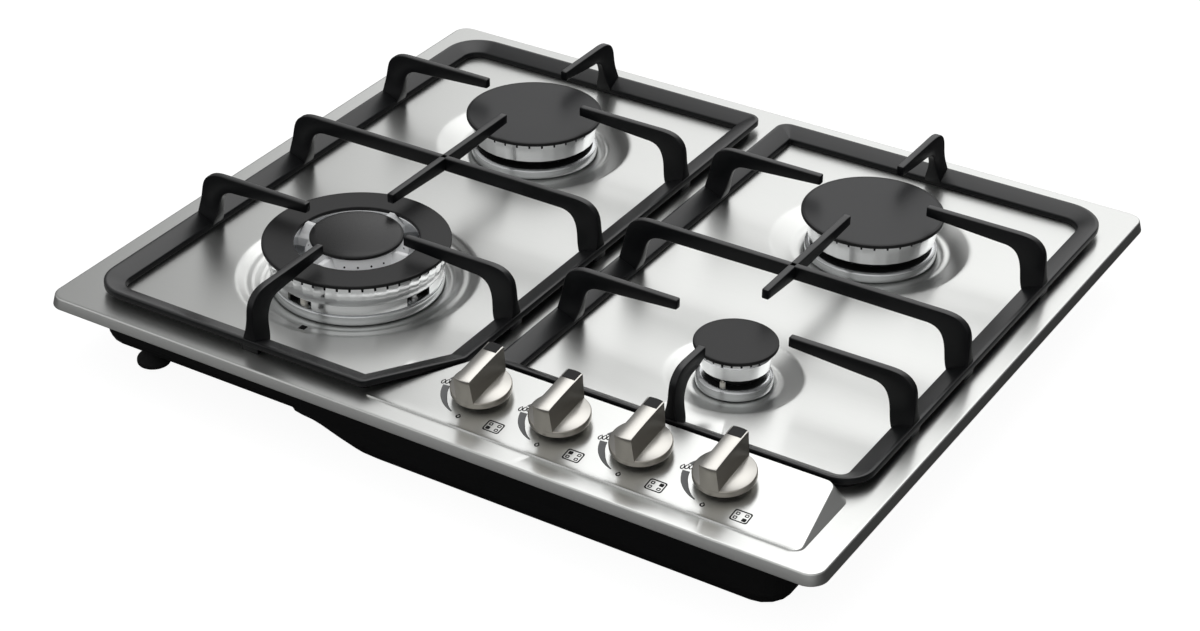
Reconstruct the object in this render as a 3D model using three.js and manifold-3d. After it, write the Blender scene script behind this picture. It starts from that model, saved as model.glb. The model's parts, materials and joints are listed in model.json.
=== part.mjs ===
// Drop-in gas cooktop with four burners, two cast-iron pan supports and four knobs.
// Millimetres, +X to the right, +Y to the back, +Z up. Sizes are given from the middle of the
// plate's top face; the whole cooktop is then lifted so that it stands on the floor at z = 0.

import * as THREE from 'three';
import { ConvexGeometry } from 'three/addons/geometries/ConvexGeometry.js';
import { mergeVertices } from 'three/addons/utils/BufferGeometryUtils.js';
import Module from 'manifold-3d';

const wasm = await Module();
wasm.setup();

// ---------------------------------------------------------------- driving dimensions

const GAP = 0.3; // clearance between pieces that touch
const CUT = 1; // how far a cutting solid runs past the face that it cuts

const PLATE = {
  width: 594,
  depth: 513,
  cornerRadius: 13,
  sheet: 1,
  rimHeight: 8,
  flare: 1.6, // how far the rim slopes outwards on its way down
  edgeRadius: 1.6,
  hemWidth: 9,
};
const SIDE = {
  left: -PLATE.width / 2,
  right: PLATE.width / 2,
  front: -PLATE.depth / 2,
  rear: PLATE.depth / 2,
};

// How far things stand in from the plate's sides.
const MARGIN = {
  panelFront: 17,
  panelRight: 22,
  panLeft: 29.5,
  panRight: 33.5,
  panEnd: 17,
  grateLeft: 25,
  grateRight: 18.1,
  grateFront: 17.5,
  leftGrateRear: 28.2,
  rightGrateRear: 26.7,
};

const PANEL = {
  front: SIDE.front + MARGIN.panelFront, // y where the raised panel starts, flush with the plate
  depth: 65.5, // from there to its rear top edge
  rise: 9, // height of that edge
  rearRun: 2, // how far each sloping wall runs outwards at its foot
  rightRun: 10.3,
  leftRun: 2,
  right: SIDE.right - MARGIN.panelRight,
  grateClearance: 1.5,
  knobDepth: 35.7, // from the panel's front to the line of the knobs
  spindleClearance: 2,
};
const PANEL_TILT = Math.atan2(PANEL.rise, PANEL.depth);
const PANEL_REAR = PANEL.front + PANEL.depth;
const KNOB_LINE = PANEL.front + PANEL.knobDepth;

const PAN = {
  left: SIDE.left + MARGIN.panLeft,
  right: SIDE.right - MARGIN.panRight,
  halfDepth: SIDE.rear - MARGIN.panEnd,
  cornerRadius: 17,
  sheet: 1,
  shallow: 34.5, // depth of its left part below the plate's top
  deep: 50.5, // depth of its right part
  draft: 1.2,
  bottomRadius: 6,
  stepStart: -110, // x where the floor starts to fall
  stepEnd: -40, // x where the deep floor starts
  flangeX: 14,
  flangeY: 5,
};

// Recess at the rear right corner of the pan, for the gas and mains connections.
const POCKET = { width: 57, depth: 37.5, ceiling: -14 };
const POCKET_LEFT = PAN.right - POCKET.width;
const POCKET_FRONT = PAN.halfDepth - POCKET.depth;

// The pan's feet stand this far in from its left and its front or rear sides.
const FOOT = { fromSide: 34, fromEnd: 18, radius: 11.8, stemRadius: 5, head: 7, edge: 1.5 };

const GRATE = {
  top: 43, // height of the pan support over the plate
  barWidth: 15,
  barOuter: 9.3, // height of the base bar's outer edge
  barInner: 4.8, // height of its inner edge
  armWidth: 5.2,
  tipDepth: 7.2,
  rootDepth: 11.5,
  crossDepth: 10.3,
  tipRadius: 41, // from the burner's axis to each finger tip
  lean: { left: 7.5, back: 7.5, right: 4.1, front: 4.1 }, // how far each side's legs lean inwards
  legFoot: 1, // how far a leg's inner side stands in from the bar's, at its foot
  legTop: 7, // and at its top
  legInset: 1, // from the bar's outer edge to the leg's foot
  shoulder: { reach: 15.5, height: 13 }, // round from a leg's outer side into the finger's top
  // Round under a finger's root: how far inwards from the leg, and how far down.
  hollow: [[7, -0.4], [2.6, 1.4], [0, 5]],
  flare: { width: 13, height: 8, inset: 3 }, // where a leg widens into the bar
  edge: 1,
  crossY: -8, // y of the bar that crosses each grate
};

const LEFT_GRATE = {
  left: SIDE.left + MARGIN.grateLeft,
  right: -1.8,
  front: SIDE.front + MARGIN.grateFront,
  rear: SIDE.rear - MARGIN.leftGrateRear,
  cutWidth: 40.1, // the front right corner is cut off beside the panel
  cutDepth: 60.5,
  radii: { frontLeft: 26, cut: 7, rearRight: 10, rearLeft: 28 },
};

const RIGHT_GRATE = {
  left: 13.6,
  right: SIDE.right - MARGIN.grateRight,
  panelGap: 3.6, // from the panel's rear edge to the grate's front
  frontBar: 10.5, // width of its front bar
  rear: SIDE.rear - MARGIN.rightGrateRear,
  radii: { frontLeft: 10, frontRight: 22, rearRight: 29, rearLeft: 10 },
};
RIGHT_GRATE.front = PANEL_REAR + RIGHT_GRATE.panelGap;

// Burner caps: thickness, bevels, and the ring below that centres each one in its head.
const CAP = { sheet: 2.6, edge: 0.8, spigot: 2, spigotPlay: 1 };
const PORT = { depth: 3.2, width: 1.3 };
const CROWN = { wall: 4, mouthTaper: 0.4 };
const VENTURI = { bore: 8, wall: 2, tail: 8, lip: 19, segments: 12 };
const CUP = { bottom: -27, wall: 2.5, base: 3 };

// Igniters and flame probes: both stand in the cup's flange, with their tips under the crown.
const ROD = {
  below: -22,
  clearance: 0.4,
  tipGap: 0.8,
  pin: 0.8, // radius of an igniter's electrode
  pinLength: 2.2,
  sleeve: 0.6, // wall of a probe's sleeve
  sleeveLength: 5.4,
};
const JET = { radius: 4, top: -14, collar: 5.5, collarHeight: 4, edge: 1 };

/** Burner with its axis placed from the two sides of the plate that it is named after. */
const placed = (burner) => ({
  ...burner,
  x: burner.name.endsWith('left') ? SIDE.left + burner.fromSide : SIDE.right - burner.fromSide,
  y: burner.name.startsWith('rear') ? SIDE.rear - burner.fromEnd : SIDE.front + burner.fromEnd,
});

// Plain burners: radii from each burner's own axis, heights from the plate's top.
const PLAIN_BURNERS = [
  {
    name: 'rear_left',
    fromSide: 162.5,
    fromEnd: 144.5,
    well: { outer: 72.5, floor: 56.5, depth: 5 },
    cap: { radius: 51, top: 26.5 },
    crown: { top: 47.5, bottom: 46, low: 8.5, neck: 37, throat: 47.5 },
    flange: { top: 45, foot: 47.5, height: 2.5 },
    cupRadius: 34,
    rod: { radius: 2.5, offset: 41.2, igniter: 120, probe: 165 },
    ports: 32,
    segments: 24,
  },
  {
    name: 'rear_right',
    fromSide: 150.5,
    fromEnd: 143.5,
    well: { outer: 70.5, floor: 55.5, depth: 5 },
    cap: { radius: 50.2, top: 27 },
    crown: { top: 46.2, bottom: 44.7, low: 8.5, neck: 36, throat: 46.2 },
    flange: { top: 44, foot: 46.5, height: 2.5 },
    cupRadius: 33,
    rod: { radius: 2.5, offset: 40.2, igniter: 60, probe: 105 },
    ports: 32,
    segments: 24,
  },
  {
    name: 'front_right',
    fromSide: 148.8,
    fromEnd: 168,
    fingerShift: -2.5, // the four fingers round it stand this far to its left
    well: { outer: 45.7, floor: 31.5, depth: 5 },
    cap: { radius: 28, top: 26.1 },
    crown: { top: 24.8, bottom: 23, low: 9, neck: 16.8, neckTop: 19.4, throat: 24.2 },
    flange: { top: 23, foot: 25.6, height: 2.8 },
    cupRadius: 15,
    rod: { radius: 1.9, offset: 20, igniter: -84, probe: 100 },
    ports: 24,
    segments: 24,
  },
].map(placed);

// Wok burner: an outer ring of flames and an inner head, each with its own cap.
const WOK = placed({
  name: 'front_left',
  fromSide: 163,
  fromEnd: 140.5,
  well: { outer: 84, step: 78, stepDepth: 3, stepInner: 72.5, floor: 67, depth: 6 },
  ringCap: { inner: 43.4, outer: 65.7, top: 28 },
  innerCap: { radius: 32.6, rim: 28.7, edge: 30.3, shoulder: 31.4, bevel: 0.8, top: 33.4 },
  crown: { top: 63, bottom: 61.3, low: 9.4, inner: 44, wall: 3.5, chamberFloor: 15 },
  skirt: { outer: 60, inner: 58, low: 2, baseTop: 6 },
  innerHead: { foot: 36, shoulderHeight: 20, top: 30.5 },
  bridge: { width: 13, low: 14, top: 23 },
  window: { width: 21, top: 8.6, behind: 2 },
  chamberWall: 3,
  groove: 0.4, // how far the crown stands back over its skirt
  flange: { top: 58.6, foot: 60.5, height: 1.7 },
  cupRadius: 45,
  rod: { radius: 2.6, offset: 54.6, igniter: -96, probe: -10 },
  ports: 44,
  segments: 36,
  innerSegments: 28,
});

const KNOB = {
  fromSide: 92, // from the plate's right side to the last knob's axis
  pitch: 59.2,
  radius: 20.2,
  gap: 2.8, // from the panel to the knob's underside
  disc: 6.4,
  height: 24.2,
  bladeTop: 11.8,
  bladeFoot: 13.6,
  markerSize: 10,
  markerDepth: 1.6,
  markerReach: 8, // from the disc's rim inwards to the marker's front edge
  footBevel: 0.8,
  edge: 0.8,
  flare: 0.9, // how far the blade's ends stand out past the disc at their top
  bore: 15,
  segments: 24,
};
const KNOB_NAMES = ['front_left', 'rear_left', 'rear_right', 'front_right'];
const FIRST_KNOB = SIDE.right - KNOB.fromSide - (KNOB_NAMES.length - 1) * KNOB.pitch;

// Tap: lengths along the knob's axis, measured down from the panel's top face.
const TAP = {
  bodyRadius: 12,
  bodyTop: 7,
  bodyBottom: 31,
  plugTop: 9,
  plugBottom: 21.7,
  plugRadius: 6.2,
  plugTaper: 0.6,
  spindleRadius: 3,
  spindleFlat: 1.5, // from the axis to the flat on the spindle
  spindleBottom: 15,
  plugBore: 18,
  bore: 22,
  outletRadius: 5,
  outletReach: 20,
  outletDrop: 17,
  saddle: 4, // how deep the rail sits in the body's lower end
};

const RAIL = {
  radius: 8,
  wall: 1.5,
  left: 10,
  fromSide: 17, // from the pan's right side to its rearward run
  footWidth: 14,
  bend: 30,
  plug: { over: 0.5, length: 3, outside: 2.5 },
};

// Gas tubes. Each heading is the way from a burner's axis to where its tube enters the cup.
// Bends are given as steps in x and y, first from the tap's knob, then from the burner's axis.
const TUBE = { radius: 3.1, level: -20, cupLevel: -19, bend: 16, lead: 9, approach: 14 };
const TUBE_ROUTES = {
  front_left: { heading: -26, fromKnob: [[-9, 44]], fromBurner: [[94, -26]] },
  rear_left: { heading: -20, fromKnob: [[-9.5, 64]], fromBurner: [[144.5, -92], [74.5, -27]] },
  rear_right: { heading: 180, fromKnob: [[-4, 54], [-40, 84]], fromBurner: [[-42.5, 0]] },
  front_right: { heading: 0, fromKnob: [[0, 74]], fromBurner: [[44, 0]] },
};

const INLET = { hexRadius: 11, hexLength: 9, nippleRadius: 8, reach: 26, bore: 5 };
const GLAND = { fromSide: 14, z: -33, flange: 9, flangeSheet: 4, barrel: 6.5, inside: 8, reach: 12, bore: 4 };

// Ignition module on the pan's floor, with a fixing ear at each end.
const IGNITION = {
  fromSide: 49, // from the pan's right side to its middle
  y: 10,
  width: 38,
  length: 62,
  height: 24,
  ear: { width: 14, reach: 9, height: 2.5 },
};

const COLOUR = {
  steel: 0xc4c6c4,
  black: 0x101112,
  iron: 0x2b2d2f,
  aluminium: 0xb9bbbd,
  enamel: 0x505254,
  nickel: 0xd8d5ce,
  brass: 0xb08d4a,
  ceramic: 0xe8e4d8,
  plastic: 0x1a1a1c,
};

// ---------------------------------------------------------------- solids

/** Manifold of a closed BufferGeometry, with its faces turned outwards. */
function solid(geometry) {
  let bare = geometry.index ? geometry.toNonIndexed() : geometry.clone();
  for (const name of Object.keys(bare.attributes)) {
    if (name !== 'position') bare.deleteAttribute(name);
  }
  bare = mergeVertices(bare, 1e-4);
  const index = bare.index.array;
  const kept = [];
  for (let i = 0; i < index.length; i += 3) {
    const [a, b, c] = [index[i], index[i + 1], index[i + 2]];
    if (a !== b && b !== c && c !== a) kept.push(a, b, c);
  }
  const make = (triangles) => new wasm.Manifold(new wasm.Mesh({
    numProp: 3,
    vertProperties: new Float32Array(bare.attributes.position.array),
    triVerts: new Uint32Array(triangles),
  }));
  const result = make(kept);
  if (result.volume() > 0) return result;
  for (let i = 0; i < kept.length; i += 3) {
    [kept[i], kept[i + 1]] = [kept[i + 1], kept[i]];
  }
  return make(kept);
}

/** BufferGeometry of a manifold. */
function geometryOf(shape) {
  const mesh = shape.getMesh();
  const geometry = new THREE.BufferGeometry();
  geometry.setAttribute('position', new THREE.BufferAttribute(mesh.vertProperties, 3));
  geometry.setIndex(new THREE.BufferAttribute(mesh.triVerts, 1));
  geometry.computeVertexNormals();
  return geometry;
}

const union = (shapes) => shapes.reduce((whole, next) => whole.add(next));

/** Solid through rings of equal point counts, each ring convex and planar. */
function loft(rings) {
  const count = rings[0].length;
  const positions = rings.flat().flatMap((p) => [p.x, p.y, p.z]);
  const index = [];
  for (let r = 0; r + 1 < rings.length; r += 1) {
    for (let i = 0; i < count; i += 1) {
      const [a, b] = [r * count + i, r * count + ((i + 1) % count)];
      index.push(a, b, b + count, a, b + count, a + count);
    }
  }
  const last = (rings.length - 1) * count;
  for (let i = 1; i + 1 < count; i += 1) {
    index.push(0, i + 1, i, last, last + i, last + i + 1);
  }
  const geometry = new THREE.BufferGeometry();
  geometry.setAttribute('position', new THREE.Float32BufferAttribute(positions, 3));
  geometry.setIndex(index);
  return solid(geometry);
}

const atHeight = (outline, z) => outline.map((p) => new THREE.Vector3(p.x, p.y, z));
const prism = (outline, low, high) => loft([atHeight(outline, low), atHeight(outline, high)]);

/**
 * Outline of a convex polygon, moved inwards by inset, with an arc at each corner.
 * The corners run anticlockwise, and each has the radius that it has without inset.
 */
function roundedOutline(corners, radii, inset, steps = 5) {
  const lines = corners.map((corner, i) => {
    const next = corners[(i + 1) % corners.length];
    const along = next.clone().sub(corner).normalize();
    const inward = new THREE.Vector2(-along.y, along.x);
    return { start: corner.clone().addScaledVector(inward, inset), along };
  });
  return lines.flatMap((line, i) => {
    const before = lines[(i + lines.length - 1) % lines.length];
    const offset = line.start.clone().sub(before.start);
    const reach = offset.cross(line.along) / before.along.cross(line.along);
    const corner = before.start.clone().addScaledVector(before.along, reach);
    const turn = Math.atan2(before.along.cross(line.along), before.along.dot(line.along));
    const radius = Math.max(radii[i] - inset, 0.6);
    const back = radius * Math.tan(turn / 2);
    const centre = corner.clone().addScaledVector(before.along, -back);
    centre.add(new THREE.Vector2(-before.along.y, before.along.x).multiplyScalar(radius));
    const first = Math.atan2(before.along.y, before.along.x) - Math.PI / 2;
    return Array.from({ length: steps + 1 }, (_, k) => {
      const angle = first + (turn * k) / steps;
      return new THREE.Vector2(Math.cos(angle), Math.sin(angle)).multiplyScalar(radius).add(centre);
    });
  });
}

const rectangle = (x0, x1, y0, y1) => [
  new THREE.Vector2(x0, y0),
  new THREE.Vector2(x1, y0),
  new THREE.Vector2(x1, y1),
  new THREE.Vector2(x0, y1),
];

/** Solid turned about a vertical axis from a closed profile of [radius, height] pairs. */
function turned(profile, segments, x = 0, y = 0) {
  const points = profile.map(([radius, height]) => new THREE.Vector2(radius, height));
  const onAxis = profile[0][0] === 0 && profile[profile.length - 1][0] === 0;
  if (!onAxis) points.push(points[0].clone());
  const geometry = new THREE.LatheGeometry(points, segments);
  geometry.rotateX(Math.PI / 2);
  geometry.translate(x, y, 0);
  return solid(geometry);
}

/** Upright cylinder, or a cone when its top has another radius. */
function post(radius, low, high, x = 0, y = 0, segments = 16, topRadius = radius) {
  const geometry = new THREE.CylinderGeometry(topRadius, radius, high - low, segments);
  geometry.rotateX(Math.PI / 2);
  geometry.translate(x, y, (low + high) / 2);
  return solid(geometry);
}

function block(x0, x1, y0, y1, z0, z1) {
  const geometry = new THREE.BoxGeometry(x1 - x0, y1 - y0, z1 - z0);
  geometry.translate((x0 + x1) / 2, (y0 + y1) / 2, (z0 + z1) / 2);
  return solid(geometry);
}

/** Cylinder along Y, from one y to another. */
function barrel(radius, from, to, x, z, segments = 16) {
  const geometry = new THREE.CylinderGeometry(radius, radius, to - from, segments);
  geometry.translate(x, (from + to) / 2, z);
  return solid(geometry);
}

const hull = (points) => solid(new ConvexGeometry(points.map((p) => new THREE.Vector3(...p))));

/** Tube along a bent path, hollow when it has a bore. */
function tube(path, radius, sides, bore = 0) {
  const ring = (r) => Array.from({ length: sides }, (_, i) => {
    const angle = (2 * Math.PI * i) / sides;
    return new THREE.Vector2(r * Math.cos(angle), r * Math.sin(angle));
  });
  const section = new THREE.Shape(ring(radius));
  if (bore > 0) section.holes.push(new THREE.Path(ring(bore).reverse()));
  const options = { steps: path.steps, extrudePath: path, bevelEnabled: false };
  return solid(new THREE.ExtrudeGeometry(section, options));
}

/** Straight runs joined by round bends, with a station at each end of a run. */
class BentPath extends THREE.Curve {
  constructor(points, bend, bendSteps = 2) {
    super();
    this.stations = [points[0]];
    for (let i = 1; i + 1 < points.length; i += 1) {
      const [before, corner, after] = [points[i - 1], points[i], points[i + 1]];
      const reach = Math.min(bend, before.distanceTo(corner) / 2.1, corner.distanceTo(after) / 2.1);
      const start = corner.clone().add(before.clone().sub(corner).setLength(reach));
      const end = corner.clone().add(after.clone().sub(corner).setLength(reach));
      const arc = new THREE.QuadraticBezierCurve3(start, corner, end);
      this.stations.push(...arc.getPoints(bendSteps));
    }
    this.stations.push(points[points.length - 1]);
  }

  get steps() {
    return this.stations.length - 1;
  }

  getPoint(t, target = new THREE.Vector3()) {
    const place = THREE.MathUtils.clamp(t, 0, 1) * this.steps;
    const i = Math.min(Math.floor(place), this.steps - 1);
    return target.lerpVectors(this.stations[i], this.stations[i + 1], place - i);
  }

  getPointAt(u, target) {
    return this.getPoint(u, target);
  }

  getTangentAt(u, target = new THREE.Vector3()) {
    const i = Math.round(u * this.steps);
    const here = this.stations[i];
    target.set(0, 0, 0);
    if (i > 0) target.add(here.clone().sub(this.stations[i - 1]).normalize());
    if (i < this.steps) target.add(this.stations[i + 1].clone().sub(here).normalize());
    return target.normalize();
  }
}

const polar = (radius, degrees) => {
  const angle = THREE.MathUtils.degToRad(degrees);
  return [radius * Math.cos(angle), radius * Math.sin(angle)];
};

// ---------------------------------------------------------------- the assembly

const cooktop = new THREE.Group();
cooktop.position.z = PAN.deep;

/** Adds a solid to the cooktop, or to a group in it, as a named piece. */
function piece(name, shape, colour, roughness, metalness, parent = cooktop) {
  const material = new THREE.MeshStandardMaterial({ color: colour, roughness, metalness });
  const mesh = new THREE.Mesh(geometryOf(shape), material);
  mesh.name = name;
  parent.add(mesh);
  return mesh;
}

// ---------------------------------------------------------------- grate outlines

function leftGrateOutline(inset) {
  const { left, right, front, rear, cutWidth, cutDepth, radii } = LEFT_GRATE;
  const corners = [
    new THREE.Vector2(left, front),
    new THREE.Vector2(right - cutWidth, front),
    new THREE.Vector2(right, front + cutDepth),
    new THREE.Vector2(right, rear),
    new THREE.Vector2(left, rear),
  ];
  const rounds = [radii.frontLeft, radii.cut, radii.cut, radii.rearRight, radii.rearLeft];
  return roundedOutline(corners, rounds, inset);
}

function rightGrateOutline(inset) {
  const { left, right, front, rear, frontBar, radii } = RIGHT_GRATE;
  const rounds = [radii.frontLeft, radii.frontRight, radii.rearRight, radii.rearLeft];
  const narrower = (1 - frontBar / GRATE.barWidth) * inset;
  return roundedOutline(rectangle(left, right, front - narrower, rear), rounds, inset);
}

// ---------------------------------------------------------------- top plate

/** Raised control panel as a wedge: its outside, or the space under its sheet. */
function panelWedge(sheet) {
  const { front: cutFront, right: cutRight, cutWidth, cutDepth } = LEFT_GRATE;
  const along = new THREE.Vector2(cutWidth, cutDepth).normalize();
  const outward = new THREE.Vector2(along.y, -along.x);
  const edge = new THREE.Vector2(cutRight - cutWidth, cutFront);
  edge.addScaledVector(outward, PANEL.grateClearance + sheet);
  const leftAt = (y) => edge.x + ((y - edge.y) * along.x) / along.y;
  const slope = Math.tan(PANEL_TILT);
  const drop = sheet / Math.cos(PANEL_TILT);
  const foot = -PLATE.sheet - (sheet > 0 ? CUT : 0);
  const rearTop = PANEL_REAR - sheet;
  const rearFoot = rearTop + PANEL.rearRun;
  const right = PANEL.right - sheet;
  const frontLine = PANEL.front + drop / slope;
  const high = PANEL.rise - drop - sheet * slope;
  const low = sheet > 0 ? -PLATE.sheet : 0;
  const front = sheet > 0 ? frontLine - PLATE.sheet / slope : PANEL.front;
  return hull([
    [leftAt(front), front, foot],
    [right, front, foot],
    [right, rearFoot, foot],
    [leftAt(rearFoot), rearFoot, foot],
    [leftAt(front), front, low],
    [right, front, low],
    [right, rearFoot, low],
    [leftAt(rearFoot), rearFoot, low],
    [right - PANEL.rightRun, rearTop, high],
    [leftAt(rearTop) + PANEL.leftRun, rearTop, high],
  ]);
}

/** Frame on the panel at one knob: its origin on the panel, its Z along the knob's axis. */
function knobFrame(index) {
  const frame = new THREE.Group();
  const height = (KNOB_LINE - PANEL.front) * Math.tan(PANEL_TILT);
  frame.position.set(FIRST_KNOB + index * KNOB.pitch, KNOB_LINE, height);
  frame.rotation.x = PANEL_TILT;
  frame.updateMatrix();
  return frame;
}

/** Hole in the plate for a burner: wide enough for its cup, igniter and flame probe. */
const wellHole = (burner) => burner.rod.offset + burner.rod.radius + ROD.clearance;

function wellProfile({ well }) {
  if (!well.step) return [[well.outer, 0], [well.floor, -well.depth]];
  return [
    [well.outer, 0],
    [well.step, -well.stepDepth],
    [well.stepInner, -well.stepDepth],
    [well.floor, -well.depth],
  ];
}

function topPlate(burners) {
  const { width, depth, cornerRadius, sheet, rimHeight, flare, edgeRadius, hemWidth } = PLATE;
  const corners = rectangle(-width / 2, width / 2, -depth / 2, depth / 2);
  const outline = (inset) => roundedOutline(corners, Array(4).fill(cornerRadius), inset);
  const outside = loft([
    atHeight(outline(0), -rimHeight),
    atHeight(outline(flare), -edgeRadius),
    atHeight(outline(flare + edgeRadius * 0.3), -edgeRadius * 0.3),
    atHeight(outline(flare + edgeRadius), 0),
  ]);
  const inside = loft([
    atHeight(outline(sheet), sheet - rimHeight),
    atHeight(outline(flare + sheet), -sheet),
  ]);
  const mouth = prism(outline(hemWidth), -rimHeight - CUT, sheet - rimHeight + CUT);
  let plate = outside.subtract(inside).subtract(mouth);
  for (const burner of burners) {
    const rim = wellProfile(burner);
    const segments = burner.segments;
    const axisTop = [0, rim[0][1]];
    const under = rim.map(([radius, height]) => [radius + sheet, height - sheet]);
    const below = [axisTop, [rim[0][0] + sheet, 0], ...under, [0, -burner.well.depth - sheet]];
    const above = [[0, CUT], [rim[0][0], CUT], ...rim, [0, -burner.well.depth]];
    const hole = post(wellHole(burner), -burner.well.depth - 2 * CUT, CUT, burner.x, burner.y, segments);
    plate = plate.add(turned(below, segments, burner.x, burner.y));
    plate = plate.subtract(turned(above, segments, burner.x, burner.y)).subtract(hole);
  }
  plate = plate.add(panelWedge(0)).subtract(panelWedge(sheet));
  for (const index of KNOB_NAMES.keys()) {
    const frame = knobFrame(index);
    const radius = TAP.spindleRadius + PANEL.spindleClearance;
    const drill = new THREE.CylinderGeometry(radius, radius, 6 * sheet, 12);
    drill.rotateX(Math.PI / 2);
    plate = plate.subtract(solid(drill.applyMatrix4(frame.matrix)));
  }
  return plate;
}

// ---------------------------------------------------------------- bottom pan

/** Outside of the pan, or its inside when shrunk by the sheet's thickness. */
function panShell(inset) {
  const { left, right, halfDepth, cornerRadius, draft, bottomRadius, stepStart, stepEnd } = PAN;
  const ring = (start, shrink, z) => {
    const corners = rectangle(start, right - shrink, -halfDepth + shrink, halfDepth - shrink);
    return atHeight(roundedOutline(corners, Array(4).fill(cornerRadius), 0, 4), z);
  };
  // How far the rounded bottom edge has moved inwards at a height over its floor.
  const roundAt = (height) => {
    const over = Math.max(0, bottomRadius - height);
    return bottomRadius - Math.sqrt(bottomRadius ** 2 - over ** 2);
  };
  const brim = inset > 0 ? CUT : -PLATE.sheet - GAP;
  const shallowFloor = inset - PAN.shallow;
  const shallow = loft([
    ring(left + inset, inset, brim),
    ...[bottomRadius, 0.3 * bottomRadius, 0].map((height) => {
      const shrink = inset + draft + roundAt(height);
      return ring(left + shrink, shrink, shallowFloor + height);
    }),
  ]);
  // The deep part's left side falls in an S from the shallow floor to the deep one.
  const falls = [0, 0.15, 0.3, 0.5, 0.7, 0.85, 1].map((share) => {
    const x = THREE.MathUtils.lerp(stepStart, stepEnd, share) - inset;
    const drop = (PAN.deep - PAN.shallow) * share * share * (3 - 2 * share);
    const shrink = inset + draft + roundAt(PAN.deep - PAN.shallow - drop);
    return ring(x, shrink, shallowFloor - drop);
  });
  const deep = loft([ring(stepStart - inset, inset, brim), ...falls]);
  return shallow.add(deep);
}

function bottomPan() {
  const { left, right, halfDepth, cornerRadius, sheet, flangeX, flangeY } = PAN;
  const flangeTop = -PLATE.sheet - GAP;
  const corners = rectangle(
    left - flangeX,
    right + flangeX,
    -halfDepth - flangeY,
    halfDepth + flangeY,
  );
  const flange = prism(roundedOutline(corners, Array(4).fill(cornerRadius), 0), flangeTop - sheet, flangeTop);
  const pocket = (wall) => block(
    POCKET_LEFT - wall,
    right + flangeX + CUT,
    POCKET_FRONT - wall,
    halfDepth + flangeY + CUT,
    -PAN.deep - CUT,
    POCKET.ceiling + wall,
  );
  const outside = panShell(0).subtract(pocket(0));
  const inside = panShell(sheet).subtract(pocket(sheet));
  const [before, behind] = [POCKET_FRONT - sheet - CUT, POCKET_FRONT + CUT];
  const holes = [
    barrel(INLET.nippleRadius + GAP, before, behind, inletX(), railCentre().z),
    barrel(GLAND.barrel + GAP, before, behind, POCKET_LEFT + GLAND.fromSide, GLAND.z),
  ];
  return flange.add(outside).subtract(inside).subtract(union(holes));
}

/** Height just above the deep floor, for what lies on it. */
const panFloor = () => PAN.sheet + GAP - PAN.deep;

/** Foot under the shallow part: it reaches as low as the deep part's floor. */
function panFoot(side) {
  const [low, high] = [-PAN.deep, -PAN.shallow - GAP];
  return turned([
    [0, low],
    [FOOT.radius - FOOT.edge, low],
    [FOOT.radius, low + FOOT.edge],
    [FOOT.stemRadius, low + FOOT.head],
    [FOOT.stemRadius, high],
    [0, high],
  ], 16, PAN.left + FOOT.fromSide, side * (PAN.halfDepth - FOOT.fromEnd));
}

// ---------------------------------------------------------------- pan supports

// Which way the arms of each side point, in degrees.
const INWARDS = { left: 0, front: 90, right: 180, back: 270 };

/**
 * One arm of a grate: a leg that rises from the base bar and a finger that points inwards.
 * It is an extruded side view; s runs inwards from the bar's outer edge.
 */
function arm(x, y, side, length, tipDepth = GRATE.tipDepth, barWidth = GRATE.barWidth) {
  const { top, legInset, shoulder, rootDepth, hollow, flare } = GRATE;
  const { barOuter, barInner, armWidth, edge } = GRATE;
  const legFoot = barWidth + GRATE.legFoot;
  const legTop = barWidth + GRATE.legTop;
  const outerAt = (z) => (GRATE.lean[side] * (z - barOuter)) / (top - barOuter);
  const under = top - rootDepth;
  const shoulderStart = outerAt(top - shoulder.height);
  const view = new THREE.Shape();
  view.moveTo(legInset, GAP);
  view.lineTo(legInset, barOuter);
  for (const share of [0, 0.25, 0.5, 0.75, 1]) {
    const angle = (share * Math.PI) / 2;
    const inwards = shoulder.reach * (1 - Math.cos(angle));
    view.lineTo(shoulderStart + inwards, top - shoulder.height * (1 - Math.sin(angle)));
  }
  view.lineTo(length, top);
  view.lineTo(length, top - tipDepth);
  for (const [inwards, down] of hollow) view.lineTo(legTop + inwards, under - down);
  view.lineTo(legFoot, barInner - edge);
  view.lineTo(legFoot - 2 * edge, GAP);
  const geometry = new THREE.ExtrudeGeometry(view, { depth: armWidth, bevelEnabled: false });
  geometry.translate(0, 0, -armWidth / 2);
  geometry.rotateX(Math.PI / 2);
  const foot = rectangle(legInset, legFoot - 2 * edge, -flare.width / 2, flare.width / 2);
  const leg = rectangle(legInset + flare.inset, legFoot, -armWidth / 2, armWidth / 2);
  const widened = [...atHeight(foot, barInner - 2 * edge), ...atHeight(leg, barOuter + flare.height)];
  const whole = solid(geometry).add(solid(new ConvexGeometry(widened)));
  return whole.rotate([0, 0, INWARDS[side]]).translate([x, y, 0]);
}

/** Straight finger along Y that crosses the transverse bar. */
function crossFinger(x, front, rear) {
  const { top, tipDepth, crossDepth, armWidth, crossY } = GRATE;
  const side = new THREE.Shape([
    new THREE.Vector2(front, top),
    new THREE.Vector2(front, top - tipDepth),
    new THREE.Vector2(crossY, top - crossDepth),
    new THREE.Vector2(rear, top - tipDepth),
    new THREE.Vector2(rear, top),
  ]);
  const geometry = new THREE.ExtrudeGeometry(side, { depth: armWidth, bevelEnabled: false });
  geometry.translate(0, 0, -armWidth / 2);
  geometry.rotateX(Math.PI / 2);
  geometry.rotateZ(Math.PI / 2);
  geometry.translate(x, 0, 0);
  return solid(geometry);
}

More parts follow.
